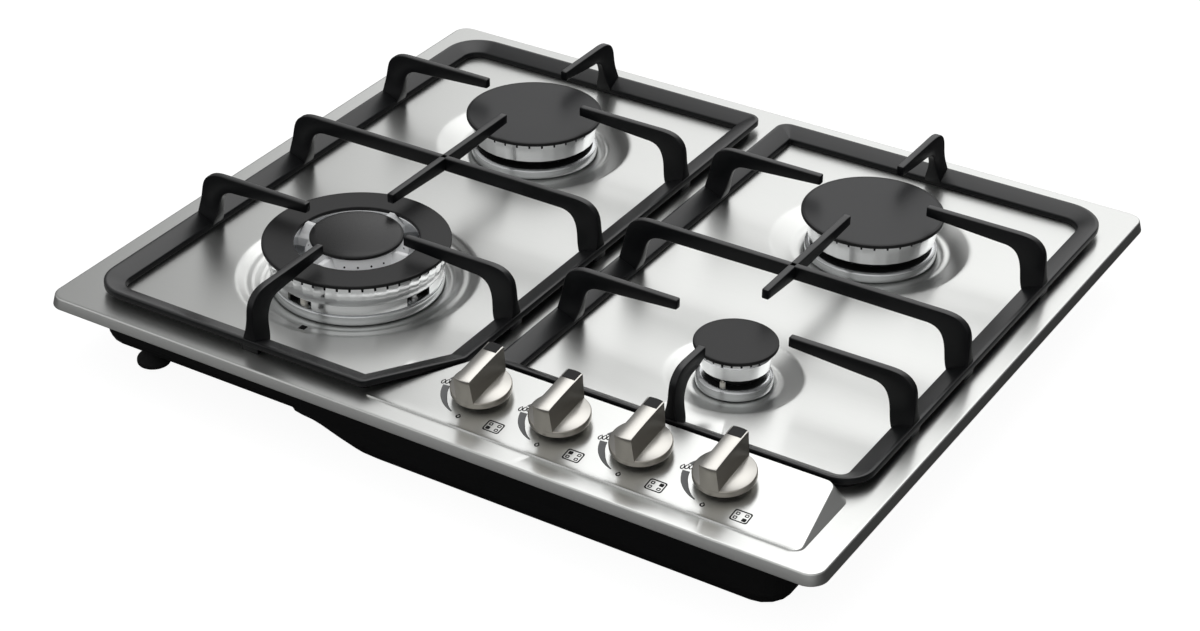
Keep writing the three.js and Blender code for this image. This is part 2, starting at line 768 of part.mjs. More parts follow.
/** Base bar of a grate: a closed bar round the edge whose top slopes down inwards. */
function baseBar(outlineAt) {
  const { barWidth, barOuter, barInner, edge } = GRATE;
  const outside = loft([
    atHeight(outlineAt(0), GAP),
    atHeight(outlineAt(0), barOuter - edge),
    atHeight(outlineAt(edge), barOuter),
  ]);
  const slope = loft([
    atHeight(outlineAt(barWidth), barInner),
    atHeight(outlineAt(2 * edge), barOuter),
    atHeight(outlineAt(2 * edge), barOuter + CUT),
  ]);
  const opening = prism(outlineAt(barWidth), GAP - CUT, barInner + CUT);
  return outside.subtract(slope).subtract(opening);
}

/** x of the middle of the four fingers round a burner. */
const fingerX = ({ x, fingerShift = 0 }) => x + fingerShift;

/** Arms from both side bars, and the crossing bar made of two arms that meet. */
function sideArms(frame, burners) {
  const middle = (frame.left + frame.right) / 2;
  const arms = burners.flatMap((burner) => [
    arm(frame.left, burner.y, 'left', fingerX(burner) - GRATE.tipRadius - frame.left),
    arm(frame.right, burner.y, 'right', frame.right - fingerX(burner) - GRATE.tipRadius),
  ]);
  const half = middle - frame.left + CUT;
  return [
    ...arms,
    arm(frame.left, GRATE.crossY, 'left', half, GRATE.crossDepth),
    arm(frame.right, GRATE.crossY, 'right', half, GRATE.crossDepth),
  ];
}

function grate(frame, outlineAt, rearBurner, frontBurner) {
  const { tipRadius } = GRATE;
  const rearReach = frame.rear - rearBurner.y - tipRadius;
  const frontReach = frontBurner.y - tipRadius - frame.front;
  return union([
    baseBar(outlineAt),
    ...sideArms(frame, [rearBurner, frontBurner]),
    arm(fingerX(rearBurner), frame.rear, 'back', rearReach),
    arm(fingerX(frontBurner), frame.front, 'front', frontReach, GRATE.tipDepth, frame.frontBar),
    crossFinger(rearBurner.x, frontBurner.y + tipRadius, rearBurner.y - tipRadius),
  ]);
}

// ---------------------------------------------------------------- burners

const rodHoles = ({ rod, x, y }, low, high) => union([rod.igniter, rod.probe].map((angle) => {
  const [dx, dy] = polar(rod.offset, angle);
  return post(rod.radius + ROD.clearance, low, high, x + dx, y + dy, 10);
}));

/** Cup under a burner: its flange lies on the floor of the well, and gas enters at its side. */
function burnerCup(burner) {
  const { flange, well, cupRadius, segments, x, y } = burner;
  const seat = GAP - well.depth;
  const inner = cupRadius - CUP.wall;
  const cup = turned([
    [inner, flange.height],
    [flange.top, flange.height],
    [flange.foot, seat],
    [cupRadius, seat],
    [cupRadius, CUP.bottom],
    [0, CUP.bottom],
    [0, CUP.bottom + CUP.base],
    [inner, CUP.bottom + CUP.base],
  ], segments, x, y);
  const port = beside(burner, cupRadius - CUP.wall / 2);
  const drill = new THREE.CylinderGeometry(TUBE.radius + GAP, TUBE.radius + GAP, 3 * CUP.wall, 10);
  drill.rotateZ(Math.PI / 2 + THREE.MathUtils.degToRad(TUBE_ROUTES[burner.name].heading));
  drill.translate(port.x, port.y, port.z);
  return cup.subtract(rodHoles(burner, seat - CUT, flange.height + CUT)).subtract(solid(drill));
}

/** Slots at the top edge of a crown, where the flames come out. */
function ports(count, radius, top, x, y, wall) {
  const slots = Array.from({ length: count }, (_, i) => {
    const geometry = new THREE.BoxGeometry(2 * wall, PORT.width, 2 * PORT.depth);
    geometry.translate(radius, 0, top);
    geometry.rotateZ((2 * Math.PI * (i + 0.5)) / count);
    geometry.translate(x, y, 0);
    return solid(geometry);
  });
  return union(slots);
}

/** Upright mixing tube in the middle of a head, and the bore that goes through it. */
const venturi = (x, y) => {
  const { bore, wall, tail, lip, segments } = VENTURI;
  return post(bore + wall, -tail, lip, x, y, segments);
};
const venturiBore = (x, y) => {
  const { bore, tail, lip, segments } = VENTURI;
  return post(bore, -tail - CUT, lip + CUT, x, y, segments);
};

/** Aluminium head of a plain burner: the crown, its gas chamber and the venturi below it. */
function plainHead(burner) {
  const { crown, cap, flange, segments, x, y } = burner;
  const top = cap.top - CAP.sheet - GAP;
  const { wall, mouthTaper } = CROWN;
  const neck = crown.neckTop ? [[crown.throat, crown.neckTop], [crown.throat - mouthTaper, top]] : [];
  const head = turned([
    [0, flange.height + GAP],
    [crown.neck, flange.height + GAP],
    [crown.neck, crown.low],
    [crown.bottom, crown.low],
    [crown.top, crown.neckTop ?? top],
    ...neck,
    [crown.throat - wall, top],
    [crown.throat - wall, VENTURI.lip - wall],
    [0, VENTURI.lip - wall],
  ], segments, x, y).add(venturi(x, y));
  const flames = ports(burner.ports, crown.throat - wall / 2, top, x, y, wall);
  return head.subtract(venturiBore(x, y)).subtract(flames);
}

function plainCap({ cap, crown, segments, x, y }) {
  const low = cap.top - CAP.sheet;
  const ring = crown.throat - CROWN.wall - CAP.spigotPlay;
  return turned([
    [0, low - CAP.spigot],
    [ring - CAP.edge, low - CAP.spigot],
    [ring, low],
    [cap.radius - CAP.edge, low],
    [cap.radius, low + CAP.edge],
    [cap.radius, cap.top - CAP.edge],
    [cap.radius - CAP.edge, cap.top],
    [0, cap.top],
  ], segments + 6, x, y);
}

/** Head of the wok burner: outer crown, skirt with two windows, inner head and four bridges. */
function wokHead(burner) {
  const { crown, skirt, innerHead, bridge, window, ringCap, innerCap, segments, x, y } = burner;
  const top = ringCap.top - CAP.sheet - GAP;
  const innerTop = innerCap.rim - GAP;
  const throat = crown.inner + crown.wall;
  const outer = turned([
    [skirt.inner, skirt.low],
    [skirt.outer, skirt.low],
    [skirt.outer + burner.groove, crown.low],
    [crown.bottom, crown.low + burner.groove],
    [crown.top, top],
    [crown.top - crown.wall, top],
    [crown.top - crown.wall, crown.chamberFloor],
    [throat, crown.chamberFloor],
    [throat, top],
    [crown.inner, top],
    [crown.inner, skirt.baseTop - 1],
    [skirt.inner, skirt.baseTop - 1],
  ], segments, x, y);
  const chamber = innerHead.top - burner.chamberWall;
  const inner = turned([
    [0, skirt.low],
    [skirt.inner + CUT, skirt.low],
    [skirt.inner + CUT, skirt.baseTop],
    [innerHead.foot, skirt.baseTop],
    [innerHead.foot, innerHead.shoulderHeight],
    [innerHead.top, innerTop],
    [chamber, innerTop],
    [chamber, crown.chamberFloor],
    [0, crown.chamberFloor],
  ], burner.innerSegments, x, y).add(venturi(x, y));
  const reach = [innerHead.foot - CUT, crown.inner + CUT];
  const bridges = [0, 90, 180, 270].map((angle) => {
    const geometry = new THREE.BoxGeometry(reach[1] - reach[0], bridge.width, bridge.top - bridge.low);
    geometry.translate((reach[0] + reach[1]) / 2, 0, (bridge.low + bridge.top) / 2);
    geometry.rotateZ(THREE.MathUtils.degToRad(angle));
    geometry.translate(x, y, 0);
    return solid(geometry);
  });
  const windows = [burner.rod.igniter, burner.rod.probe].map((angle) => {
    const depth = 2 * (skirt.outer - burner.rod.offset + burner.rod.radius + window.behind);
    const height = window.top - skirt.low + CUT;
    const geometry = new THREE.BoxGeometry(depth, window.width, height);
    geometry.translate(skirt.outer + CUT, 0, skirt.low - CUT + height / 2);
    geometry.rotateZ(THREE.MathUtils.degToRad(angle));
    geometry.translate(x, y, 0);
    return solid(geometry);
  });
  const flames = ports(burner.ports, crown.top - crown.wall / 2, top, x, y, crown.wall);
  const whole = union([outer, inner, ...bridges]).subtract(venturiBore(x, y));
  return whole.subtract(union(windows)).subtract(flames);
}

function wokRingCap({ ringCap, segments, x, y }) {
  const { inner, outer, top } = ringCap;
  const low = top - CAP.sheet;
  const { edge } = CAP;
  return turned([
    [inner, low + edge],
    [inner + edge, low],
    [outer - edge, low],
    [outer, low + edge],
    [outer, top - edge],
    [outer - edge, top],
    [inner + edge, top],
    [inner, top - edge],
  ], segments, x, y);
}

function wokInnerCap({ innerCap, innerHead, chamberWall, innerSegments, x, y }) {
  const { radius, rim, edge, shoulder, top } = innerCap;
  const ring = innerHead.top - chamberWall - CAP.spigotPlay;
  const flat = radius - CAP.edge - innerCap.bevel;
  // The crowned top falls away as the square of the distance from the axis.
  const crowned = [1, 0.75, 0.5, 0.25, 0].map((share) => [share * flat, top - (top - shoulder) * share ** 2]);
  return turned([
    [0, rim - CAP.spigot],
    [ring - CAP.edge, rim - CAP.spigot],
    [ring, rim],
    [radius - CAP.edge, rim],
    [radius, edge],
    ...crowned,
  ], innerSegments, x, y);
}

/** Spark igniter: a white ceramic rod with a thin electrode, under the crown. */
function igniter({ rod, crown, x, y }) {
  const [dx, dy] = polar(rod.offset, rod.igniter);
  const tip = crown.low - ROD.tipGap;
  return turned([
    [0, ROD.below],
    [rod.radius, ROD.below],
    [rod.radius, tip - ROD.pinLength],
    [ROD.pin, tip - ROD.pinLength],
    [ROD.pin, tip],
    [0, tip],
  ], 8, x + dx, y + dy);
}

/** Flame probe: a thin metal rod in a wider sleeve. */
function probe({ rod, crown, x, y }) {
  const [dx, dy] = polar(rod.offset, rod.probe);
  const tip = crown.low - ROD.tipGap;
  const { sleeve, sleeveLength } = ROD;
  return turned([
    [0, ROD.below],
    [rod.radius, ROD.below],
    [rod.radius, tip - sleeveLength - sleeve],
    [rod.radius - sleeve, tip - sleeveLength],
    [rod.radius - sleeve, tip],
    [0, tip],
  ], 8, x + dx, y + dy);
}

/** Brass jet that stands on the floor of a cup, under the venturi. */
function jet({ x, y }) {
  const low = CUP.bottom + CUP.base + GAP;
  return turned([
    [0, low],
    [JET.collar, low],
    [JET.collar, low + JET.collarHeight],
    [JET.radius, low + JET.collarHeight],
    [JET.radius, JET.top - JET.edge],
    [JET.radius - JET.edge, JET.top],
    [0, JET.top],
  ], 6, x, y);
}

// ---------------------------------------------------------------- knobs and taps

/** Knob in its own frame: a round base with a blade whose ends follow the base's rim. */
function knob() {
  const { radius, gap, disc, height, bladeTop, bladeFoot, footBevel, edge, flare, segments } = KNOB;
  const top = gap + height;
  const base = turned([
    [0, gap],
    [radius - footBevel, gap],
    [radius, gap + footBevel],
    [radius, gap + disc - edge],
    [radius - edge, gap + disc],
    [0, gap + disc],
  ], segments);
  const width = (z) => THREE.MathUtils.mapLinear(z, gap, top, bladeFoot, bladeTop) / 2;
  const long = radius + flare + CUT;
  const wedge = hull([gap + footBevel, top].flatMap((z) => [
    [-width(z), -long, z],
    [width(z), -long, z],
    [width(z), long, z],
    [-width(z), long, z],
  ]));
  const blade = wedge.intersect(post(radius, gap + footBevel, top, 0, 0, segments, radius + flare));
  const half = KNOB.markerSize / 2;
  const seatFloor = top - KNOB.markerDepth - GAP;
  const seat = block(-half, half, radius - KNOB.markerReach, long, seatFloor, top + CUT);
  const hole = post(TAP.spindleRadius + GAP, gap - CUT, gap + KNOB.bore, 0, 0, 10);
  return base.add(blade).subtract(seat).subtract(hole);
}

/** Black pointer let into the rear end of the blade's top. */
function knobMarker() {
  const { radius, gap, height, markerSize, markerDepth, markerReach, flare, segments } = KNOB;
  const top = gap + height;
  const half = markerSize / 2 - GAP;
  const end = radius + flare - GAP;
  const slab = block(-half, half, radius - markerReach + GAP, end + CUT, top - markerDepth, top);
  return slab.intersect(post(end, top - markerDepth, top, 0, 0, segments));
}

function spindle() {
  const { spindleRadius, spindleBottom, spindleFlat } = TAP;
  const top = KNOB.gap + KNOB.bore - GAP;
  const out = spindleRadius + CUT;
  const flat = block(spindleFlat, out, -out, out, KNOB.gap, top + CUT);
  return post(spindleRadius, -spindleBottom, top, 0, 0, 10).subtract(flat);
}

/** Plug of a tap: it turns in the tap's body, and the spindle slides in it. */
function tapPlug() {
  const { plugRadius, plugTaper, plugTop, plugBottom, spindleRadius, plugBore } = TAP;
  const body = post(plugRadius - plugTaper, -plugBottom, -plugTop, 0, 0, 12, plugRadius);
  return body.subtract(post(spindleRadius + GAP, -plugBore, -plugTop + CUT, 0, 0, 10));
}

/** Distance from the panel to the gas rail's axis, along a knob's axis. */
const railDrop = () => TAP.bodyBottom - TAP.saddle + GAP + RAIL.radius;

function tapBody() {
  const { bodyRadius, bodyTop, bodyBottom, bore, outletRadius, outletReach, outletDrop } = TAP;
  const body = post(bodyRadius, -bodyBottom, -bodyTop, 0, 0, 14);
  const outlet = barrel(outletRadius, 0, outletReach, 0, -outletDrop, 8);
  const mouth = TAP.plugRadius + GAP;
  const well = post(mouth - TAP.plugTaper, -bore, -bodyTop + CUT, 0, 0, 24, mouth);
  const saddle = new THREE.CylinderGeometry(RAIL.radius + GAP, RAIL.radius + GAP, 4 * bodyRadius, 16);
  saddle.rotateZ(Math.PI / 2);
  saddle.translate(0, 0, -railDrop());
  return body.add(outlet).subtract(well).subtract(solid(saddle));
}

/** Centre of the gas rail under the taps, in the cooktop's frame. */
function railCentre() {
  return new THREE.Vector3(0, 0, -railDrop()).applyMatrix4(knobFrame(0).matrix);
}

/** x of the rail's run to the back, and of the gas inlet at its end. */
const inletX = () => PAN.right - RAIL.fromSide;

/** y of the rail's rear end, where the inlet's hexagon starts. */
const railEnd = () => POCKET_FRONT - PAN.sheet - 2 * GAP - INLET.hexLength;

// ---------------------------------------------------------------- gas and mains

/** Gas rail under the taps, bent back to the inlet, with two feet on the pan's floor. */
function gasRail() {
  const { radius, wall, left, footWidth, bend, plug } = RAIL;
  const { y, z } = railCentre();
  const path = new BentPath([
    new THREE.Vector3(left, y, z),
    new THREE.Vector3(inletX(), y, z),
    new THREE.Vector3(inletX(), railEnd(), z),
  ], bend, 3);
  const pipe = tube(path, radius, 12, radius - wall);
  const stopper = new THREE.CylinderGeometry(radius + plug.over, radius + plug.over, plug.length, 12);
  stopper.rotateZ(Math.PI / 2);
  stopper.translate(left - plug.outside + plug.length / 2, y, z);
  const feet = [0.5, 2.5].map((share) => {
    const x = FIRST_KNOB + share * KNOB.pitch;
    const [halfWidth, halfDepth, top] = [footWidth / 2, radius / 2, z - radius + wall / 2];
    return block(x - halfWidth, x + halfWidth, y - halfDepth, y + halfDepth, panFloor(), top);
  });
  return pipe.add(solid(stopper)).add(union(feet));
}

/** Point at the side of a burner's cup, where its gas tube comes in, this far from the axis. */
function beside({ name, x, y }, distance) {
  const [dx, dy] = polar(distance, TUBE_ROUTES[name].heading);
  return new THREE.Vector3(x + dx, y + dy, TUBE.cupLevel);
}

function gasTube(index, burner) {
  const { matrix } = knobFrame(index);
  const { fromKnob, fromBurner } = TUBE_ROUTES[burner.name];
  const outlet = (reach) => new THREE.Vector3(0, TAP.outletReach + reach, -TAP.outletDrop).applyMatrix4(matrix);
  const bends = (steps, x, y) => steps.map(([dx, dy]) => new THREE.Vector3(x + dx, y + dy, TUBE.level));
  const wall = burner.cupRadius - CUP.wall / 2;
  const path = new BentPath([
    outlet(GAP),
    outlet(TUBE.lead),
    ...bends(fromKnob, FIRST_KNOB + index * KNOB.pitch, KNOB_LINE),
    ...bends(fromBurner, burner.x, burner.y),
    beside(burner, wall + TUBE.approach),
    beside(burner, wall),
  ], TUBE.bend);
  return tube(path, TUBE.radius, 6);
}

/** Gas inlet: a hexagon inside the pan and a nipple that points back into the recess. */
function gasInlet() {
  const { hexRadius, nippleRadius, reach, bore } = INLET;
  const { z } = railCentre();
  const x = inletX();
  const start = railEnd() + GAP;
  const end = POCKET_FRONT + reach;
  const hexagon = barrel(hexRadius, start, start + INLET.hexLength, x, z, 6);
  const nipple = barrel(nippleRadius, start + CUT, end, x, z, 12);
  return hexagon.add(nipple).subtract(barrel(bore, start - CUT, end + CUT, x, z, 8));
}

/** Gland for the mains lead, in the wall of the recess. */
function mainsGland() {
  const { z, flange, flangeSheet, barrel: radius, inside, reach, bore } = GLAND;
  const x = POCKET_LEFT + GLAND.fromSide;
  const seat = POCKET_FRONT + GAP;
  const collar = barrel(flange, seat, seat + flangeSheet, x, z, 6);
  const neck = barrel(radius, POCKET_FRONT - inside, seat + reach, x, z, 10);
  return collar.add(neck).subtract(barrel(bore, POCKET_FRONT - inside - CUT, seat + reach + CUT, x, z, 8));
}

/** Ignition module: a box with ears, on the floor of the pan. */
function ignitionModule() {
  const { y, width, length, height, ear } = IGNITION;
  const x = PAN.right - IGNITION.fromSide;
  const floor = panFloor();
  const box = block(x - width / 2, x + width / 2, y - length / 2, y + length / 2, floor, floor + height);
  const end = length / 2 + ear.reach;
  return box.add(block(x - ear.width / 2, x + ear.width / 2, y - end, y + end, floor, floor + ear.height));
}

// ---------------------------------------------------------------- put together

const [rearLeft, rearRight, frontRight] = PLAIN_BURNERS;
const burners = [...PLAIN_BURNERS, WOK];

piece('top_plate', topPlate(burners), COLOUR.steel, 0.32, 1);
piece('bottom_pan', bottomPan(), COLOUR.black, 0.5, 0.2);
piece('pan_foot_front', panFoot(-1), COLOUR.black, 0.8, 0);
piece('pan_foot_rear', panFoot(1), COLOUR.black, 0.8, 0);
piece('grate_left', grate(LEFT_GRATE, leftGrateOutline, rearLeft, WOK), COLOUR.iron, 0.6, 0.2);
piece('grate_right', grate(RIGHT_GRATE, rightGrateOutline, rearRight, frontRight), COLOUR.iron, 0.6, 0.2);

for (const burner of PLAIN_BURNERS) {
  piece(`burner_head_${burner.name}`, plainHead(burner), COLOUR.aluminium, 0.35, 1);
  piece(`burner_cap_${burner.name}`, plainCap(burner), COLOUR.enamel, 0.45, 0.1);
}
piece(`burner_head_${WOK.name}`, wokHead(WOK), COLOUR.aluminium, 0.35, 1);
piece(`ring_cap_${WOK.name}`, wokRingCap(WOK), COLOUR.enamel, 0.45, 0.1);
piece(`inner_cap_${WOK.name}`, wokInnerCap(WOK), COLOUR.enamel, 0.4, 0.1);

for (const burner of burners) {
  piece(`burner_cup_${burner.name}`, burnerCup(burner), COLOUR.aluminium, 0.5, 1);
  piece(`igniter_${burner.name}`, igniter(burner), COLOUR.ceramic, 0.4, 0);
  piece(`flame_probe_${burner.name}`, probe(burner), COLOUR.steel, 0.35, 1);
  piece(`jet_${burner.name}`, jet(burner), COLOUR.brass, 0.35, 1);
}

for (const [index, name] of KNOB_NAMES.entries()) {
  const frame = knobFrame(index);
  cooktop.add(frame);
  piece(`tap_body_${name}`, tapBody(), COLOUR.brass, 0.45, 1, frame);
  piece(`tap_plug_${name}`, tapPlug(), COLOUR.brass, 0.3, 1, frame);
  piece(`tap_spindle_${name}`, spindle(), COLOUR.steel, 0.3, 1, frame);
  piece(`knob_${name}`, knob(), COLOUR.nickel, 0.38, 1, frame);
  piece(`knob_marker_${name}`, knobMarker(), COLOUR.plastic, 0.5, 0, frame);
  const burner = burners.find((candidate) => candidate.name === name);
  piece(`gas_tube_${name}`, gasTube(index, burner), COLOUR.aluminium, 0.4, 1);
}

piece('gas_rail', gasRail(), COLOUR.steel, 0.4, 1);
piece('gas_inlet', gasInlet(), COLOUR.brass, 0.35, 1);
piece('mains_gland', mainsGland(), COLOUR.plastic, 0.6, 0);
piece('ignition_module', ignitionModule(), COLOUR.plastic, 0.6, 0);

export default cooktop;
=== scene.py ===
"""Looks of a drop-in gas cooktop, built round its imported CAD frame.

Sizes are in millimetres, measured from the middle of the plate's top face: x to the right, y to
the back, z up. MM turns them into metres, and DECK is the height of that face over the floor.
"""

import json
import logging
from dataclasses import dataclass
from enum import Enum
from typing import Any, Sequence

import bmesh
import bpy
import numpy as np
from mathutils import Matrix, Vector


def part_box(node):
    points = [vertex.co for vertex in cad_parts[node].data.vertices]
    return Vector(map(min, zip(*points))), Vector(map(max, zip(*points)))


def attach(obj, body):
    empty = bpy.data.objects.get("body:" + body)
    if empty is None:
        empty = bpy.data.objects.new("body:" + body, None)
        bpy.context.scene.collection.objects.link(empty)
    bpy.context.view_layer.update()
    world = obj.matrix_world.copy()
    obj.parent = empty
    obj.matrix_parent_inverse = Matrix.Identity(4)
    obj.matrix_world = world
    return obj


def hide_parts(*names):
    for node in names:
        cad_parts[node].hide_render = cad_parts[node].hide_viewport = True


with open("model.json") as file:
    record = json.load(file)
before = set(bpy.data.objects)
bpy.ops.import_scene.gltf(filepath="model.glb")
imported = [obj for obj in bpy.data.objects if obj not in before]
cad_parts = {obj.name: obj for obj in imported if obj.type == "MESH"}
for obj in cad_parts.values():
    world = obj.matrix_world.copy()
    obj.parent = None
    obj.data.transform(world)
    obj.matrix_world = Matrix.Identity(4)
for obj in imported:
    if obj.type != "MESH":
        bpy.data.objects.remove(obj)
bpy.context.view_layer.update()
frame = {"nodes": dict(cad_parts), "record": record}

LOG = logging.getLogger("cooktop")
Array = np.ndarray
MM = 0.001
MERGE_DISTANCE = 2e-6
RIM_HEIGHT = 8
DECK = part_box("top_plate")[0][2] / MM + RIM_HEIGHT
RECORD = frame["record"]
BURNERS = ("rear_left", "rear_right", "front_right", "front_left")
KNOBS = ("front_left", "rear_left", "rear_right", "front_right")


# ---------------------------------------------------------------- surfaces


@dataclass
class Patch:
    """Grid of points in rows and columns; closed joins the last column to the first."""

    points: Array
    closed: bool = True
    finish: int = 0
    keep: Array | None = None

    def quads(self, start: int) -> Array:
        """Faces of the grid.

        Args:
            start: number of the grid's first point in the whole mesh.

        Returns:
            Four point numbers for each kept face.
        """
        rows, columns = self.points.shape[:2]
        index = start + np.arange(rows * columns).reshape(rows, columns)
        if self.closed:
            index = np.concatenate([index, index[:, :1]], axis=1)
        quads = np.stack([index[:-1, :-1], index[:-1, 1:], index[1:, 1:], index[1:, :-1]], axis=-1)
        return quads.reshape(-1, 4) if self.keep is None else quads[self.keep]


def centre_of(node: str) -> Array:
    """Middle of a CAD node's box in plan, in millimetres."""
    low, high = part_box(node)
    return np.array([(low[0] + high[0]) / 2, (low[1] + high[1]) / 2]) / MM


def fillet(points: Array, radii: Sequence[float], steps: int = 4) -> Array:
    """Rounds the inner corners of a line of points, or of every column of a grid at once.

    Each corner gives way to the quadratic curve that starts at the corner pulled back along the
    line by its radius, bends towards the corner, and ends as far beyond it.

    Args:
        points: rows of points; the first and last rows stay.
        radii: how far each inner row's corner is pulled, at most half of the way to the next.
        steps: number of parts in each curve.

    Returns:
        The longer line or grid.
    """
    points = np.asarray(points, float)
    corner = points[1:-1]
    shape = (-1,) + (1,) * (points.ndim - 1)
    reach = np.asarray(radii, float).reshape(shape)

    def pulled(way: Array) -> Array:
        """Corner moved along a way by its radius."""
        length = np.maximum(np.linalg.norm(way, axis=-1, keepdims=True), 1e-9)
        return corner + way / length * np.minimum(reach, 0.49 * length)

    share = np.linspace(0, 1, steps + 1).reshape((1, -1) + (1,) * (points.ndim - 1))
    start, end = pulled(points[:-2] - corner)[:, None], pulled(points[2:] - corner)[:, None]
    curve = (1 - share) ** 2 * start + 2 * share * (1 - share) * corner[:, None] + share**2 * end
    return np.concatenate([points[:1], curve.reshape((-1,) + points.shape[1:]), points[-1:]])


def rounded_outline(corners: Array, radii: Sequence[float], inset: float = 0, steps: int = 8) -> Array:
    """Outline of a polygon moved inwards, with an arc at each corner.

    Every side is moved inwards by the inset, the moved sides are crossed to find each corner,
    and an arc of the corner's radius less the inset is laid in it.

    Args:
        corners: anticlockwise corners in plan.
        radii: radius of each corner without inset.
        inset: distance moved inwards.
        steps: number of parts in each arc.

    Returns:
        Points of the outline, steps + 1 for each corner.
    """
    corners = np.asarray(corners, float)
    along = np.roll(corners, -1, 0) - corners
    along /= np.linalg.norm(along, axis=1, keepdims=True)
    start = corners + inset * np.stack([-along[:, 1], along[:, 0]], 1)
    before, last = np.roll(along, 1, 0), np.roll(start, 1, 0)

    def cross(a: Array, b: Array) -> Array:
        """Cross product of plan vectors."""
        return a[:, 0] * b[:, 1] - a[:, 1] * b[:, 0]

    corner = last + before * (cross(start - last, along) / cross(before, along))[:, None]
    turn = np.arctan2(cross(before, along), (before * along).sum(1))
    radius = np.maximum(np.asarray(radii, float) - inset, 0.6)
    side = np.stack([-before[:, 1], before[:, 0]], 1)
    centre = corner - before * (radius * np.tan(turn / 2))[:, None] + side * radius[:, None]
    angle = (np.arctan2(before[:, 1], before[:, 0]) - np.pi / 2)[:, None]
    angle = angle + turn[:, None] * np.linspace(0, 1, steps + 1)
    arc = np.stack([np.cos(angle), np.sin(angle)], -1) * radius[:, None, None]
    return (centre[:, None] + arc).reshape(-1, 2)


def raised(outline: Array, height: float | Array) -> Array:
    """Plan points with a height each."""
    flat = np.broadcast_to(np.asarray(height, float), outline.shape[:-1])
    return np.concatenate([outline, flat[..., None]], axis=-1)


def carried(corners: Array, radii: Sequence[float], profile: Array, steps: int = 8, finish: int = 0) -> Patch:
    """Profile of insets and heights carried round a rounded outline."""
    rings = [raised(rounded_outline(corners, radii, inset, steps), z) for inset, z in profile]
    return Patch(np.stack(rings), finish=finish)


def turned(profile: Array, centre: Array, segments: int = 96, finish: int = 0) -> Patch:
    """Profile of radii and heights turned about an upright axis."""
    return ringed(profile, centre, np.arange(segments) * 2 * np.pi / segments, finish=finish)


def ringed(
    profile: Array,
    centre: Array,
    angles: Array,
    heights: Sequence[float] | None = None,
    lifted: Array | None = None,
    finish: int = 0,
) -> Patch:
    """Profile turned about an axis, with other heights at some of its angles.

    Each point lies at the profile's radius in the direction of its angle. Its height is the
    profile's own, or the other one where that angle is lifted.

    Args:
        profile: rows of radius and height.
        centre: the axis in plan.
        angles: direction of each column in radians.
        heights: the other height of each row, if some columns have one.
        lifted: for each column, whether it takes the other heights.
        finish: number of the finish.

    Returns:
        The closed grid.
    """
    profile = np.asarray(profile, float)
    around = np.stack([np.cos(angles), np.sin(angles)], -1)
    plan = profile[:, None, :1] * around + centre
    level = np.broadcast_to(profile[:, 1:], plan.shape[:2])
    if heights is not None:
        level = np.where(lifted[None, :], np.asarray(heights, float)[:, None], level)
    return Patch(np.concatenate([plan, level[..., None]], -1), finish=finish)


def slot_angles(middles: Array, half_width: float, step: float = 0.002) -> tuple[Array, Array]:
    """Angles of columns with a steep pair at both edges of each slot.

    Args:
        middles: direction of each slot's middle.
        half_width: half of a slot's angle.
        step: half of the angle taken by a steep edge.

    Returns:
        The angles, rising, and whether each one lies in a slot.
    """
    edges = np.array([-half_width - step, -half_width + step, half_width - step, half_width + step])
    angles = (np.asarray(middles)[:, None] + edges).ravel()
    inside = np.tile([False, True, True, False], len(middles))
    return angles, inside


def eased(keys: Array, samples: int, passes: int = 3) -> Array:
    """Line through rows of keys, evenly sampled along its length and softened at its corners.

    The rows are read at even steps of the travelled length, and each row is then replaced a few
    times by a quarter of both neighbours and a half of itself, with the ends held.

    Args:
        keys: rows whose first two columns are a place in the side view.
        samples: number of rows of the line.
        passes: number of times that it is softened.

    Returns:
        The rows of the line.
    """
    keys = np.asarray(keys, float)
    travel = np.concatenate([[0], np.cumsum(np.linalg.norm(np.diff(keys[:, :2], axis=0), axis=1))])
    at = np.linspace(0, travel[-1], samples)
    line = np.stack([np.interp(at, travel, keys[:, i]) for i in range(keys.shape[1])], -1)
    for _ in range(passes):
        line[1:-1] = (line[:-2] + 2 * line[1:-1] + line[2:]) / 4
    return line


def closed_on_middle(rings: Array) -> Array:
    """Stack of rings with a point in the middle of the first and the last one."""
    ends = [np.broadcast_to(rings[i].mean(0), rings[i].shape)[None] for i in (0, -1)]
    return np.concatenate([ends[0], rings, ends[1]])


def swept_bar(stations: Array, edge: float, place: Array, heading: float) -> Patch:
    """Bar of rounded rectangular section between two curves of its side view.

    A section stands on the line from the inner point to the outer point of its station. It is
    the rectangle of that height and of the station's width, less the shrink on all sides, with
    quarter circles in its corners. Both ends close in their middles.

    Args:
        stations: rows of outer s, outer z, inner s, inner z, width, shrink.
        edge: radius of the section's corners.
        place: where s is 0, in plan.
        heading: direction of s, in degrees.

    Returns:
        The closed grid, with the ends closed.
    """
    outer, inner = stations[:, 0:2], stations[:, 2:4]
    middle, reach = (outer + inner) / 2, (outer - inner) / 2
    length = np.linalg.norm(reach, axis=1, keepdims=True)
    up = reach / length
    shrink = stations[:, 5:6]
    half_height, half_width = length - shrink, stations[:, 4:5] / 2 - shrink
    radius = np.minimum(edge, 0.9 * np.minimum(half_height, half_width))
    corner = np.repeat(np.arange(4), 4)
    angle = corner * np.pi / 2 + np.tile(np.linspace(0, np.pi / 2, 4), 4)
    sign_x = np.array([1, -1, -1, 1])[corner]
    sign_y = np.array([1, 1, -1, -1])[corner]
    across = sign_x * (half_width - radius) + radius * np.cos(angle)
    along = sign_y * (half_height - radius) + radius * np.sin(angle)
    s = middle[:, :1] + along * up[:, :1]
    z = middle[:, 1:] + along * up[:, 1:]
    turn = np.radians(heading)
    x = place[0] + s * np.cos(turn) - across * np.sin(turn)
    y = place[1] + s * np.sin(turn) + across * np.cos(turn)
    return Patch(closed_on_middle(np.stack([x, y, z], -1)))


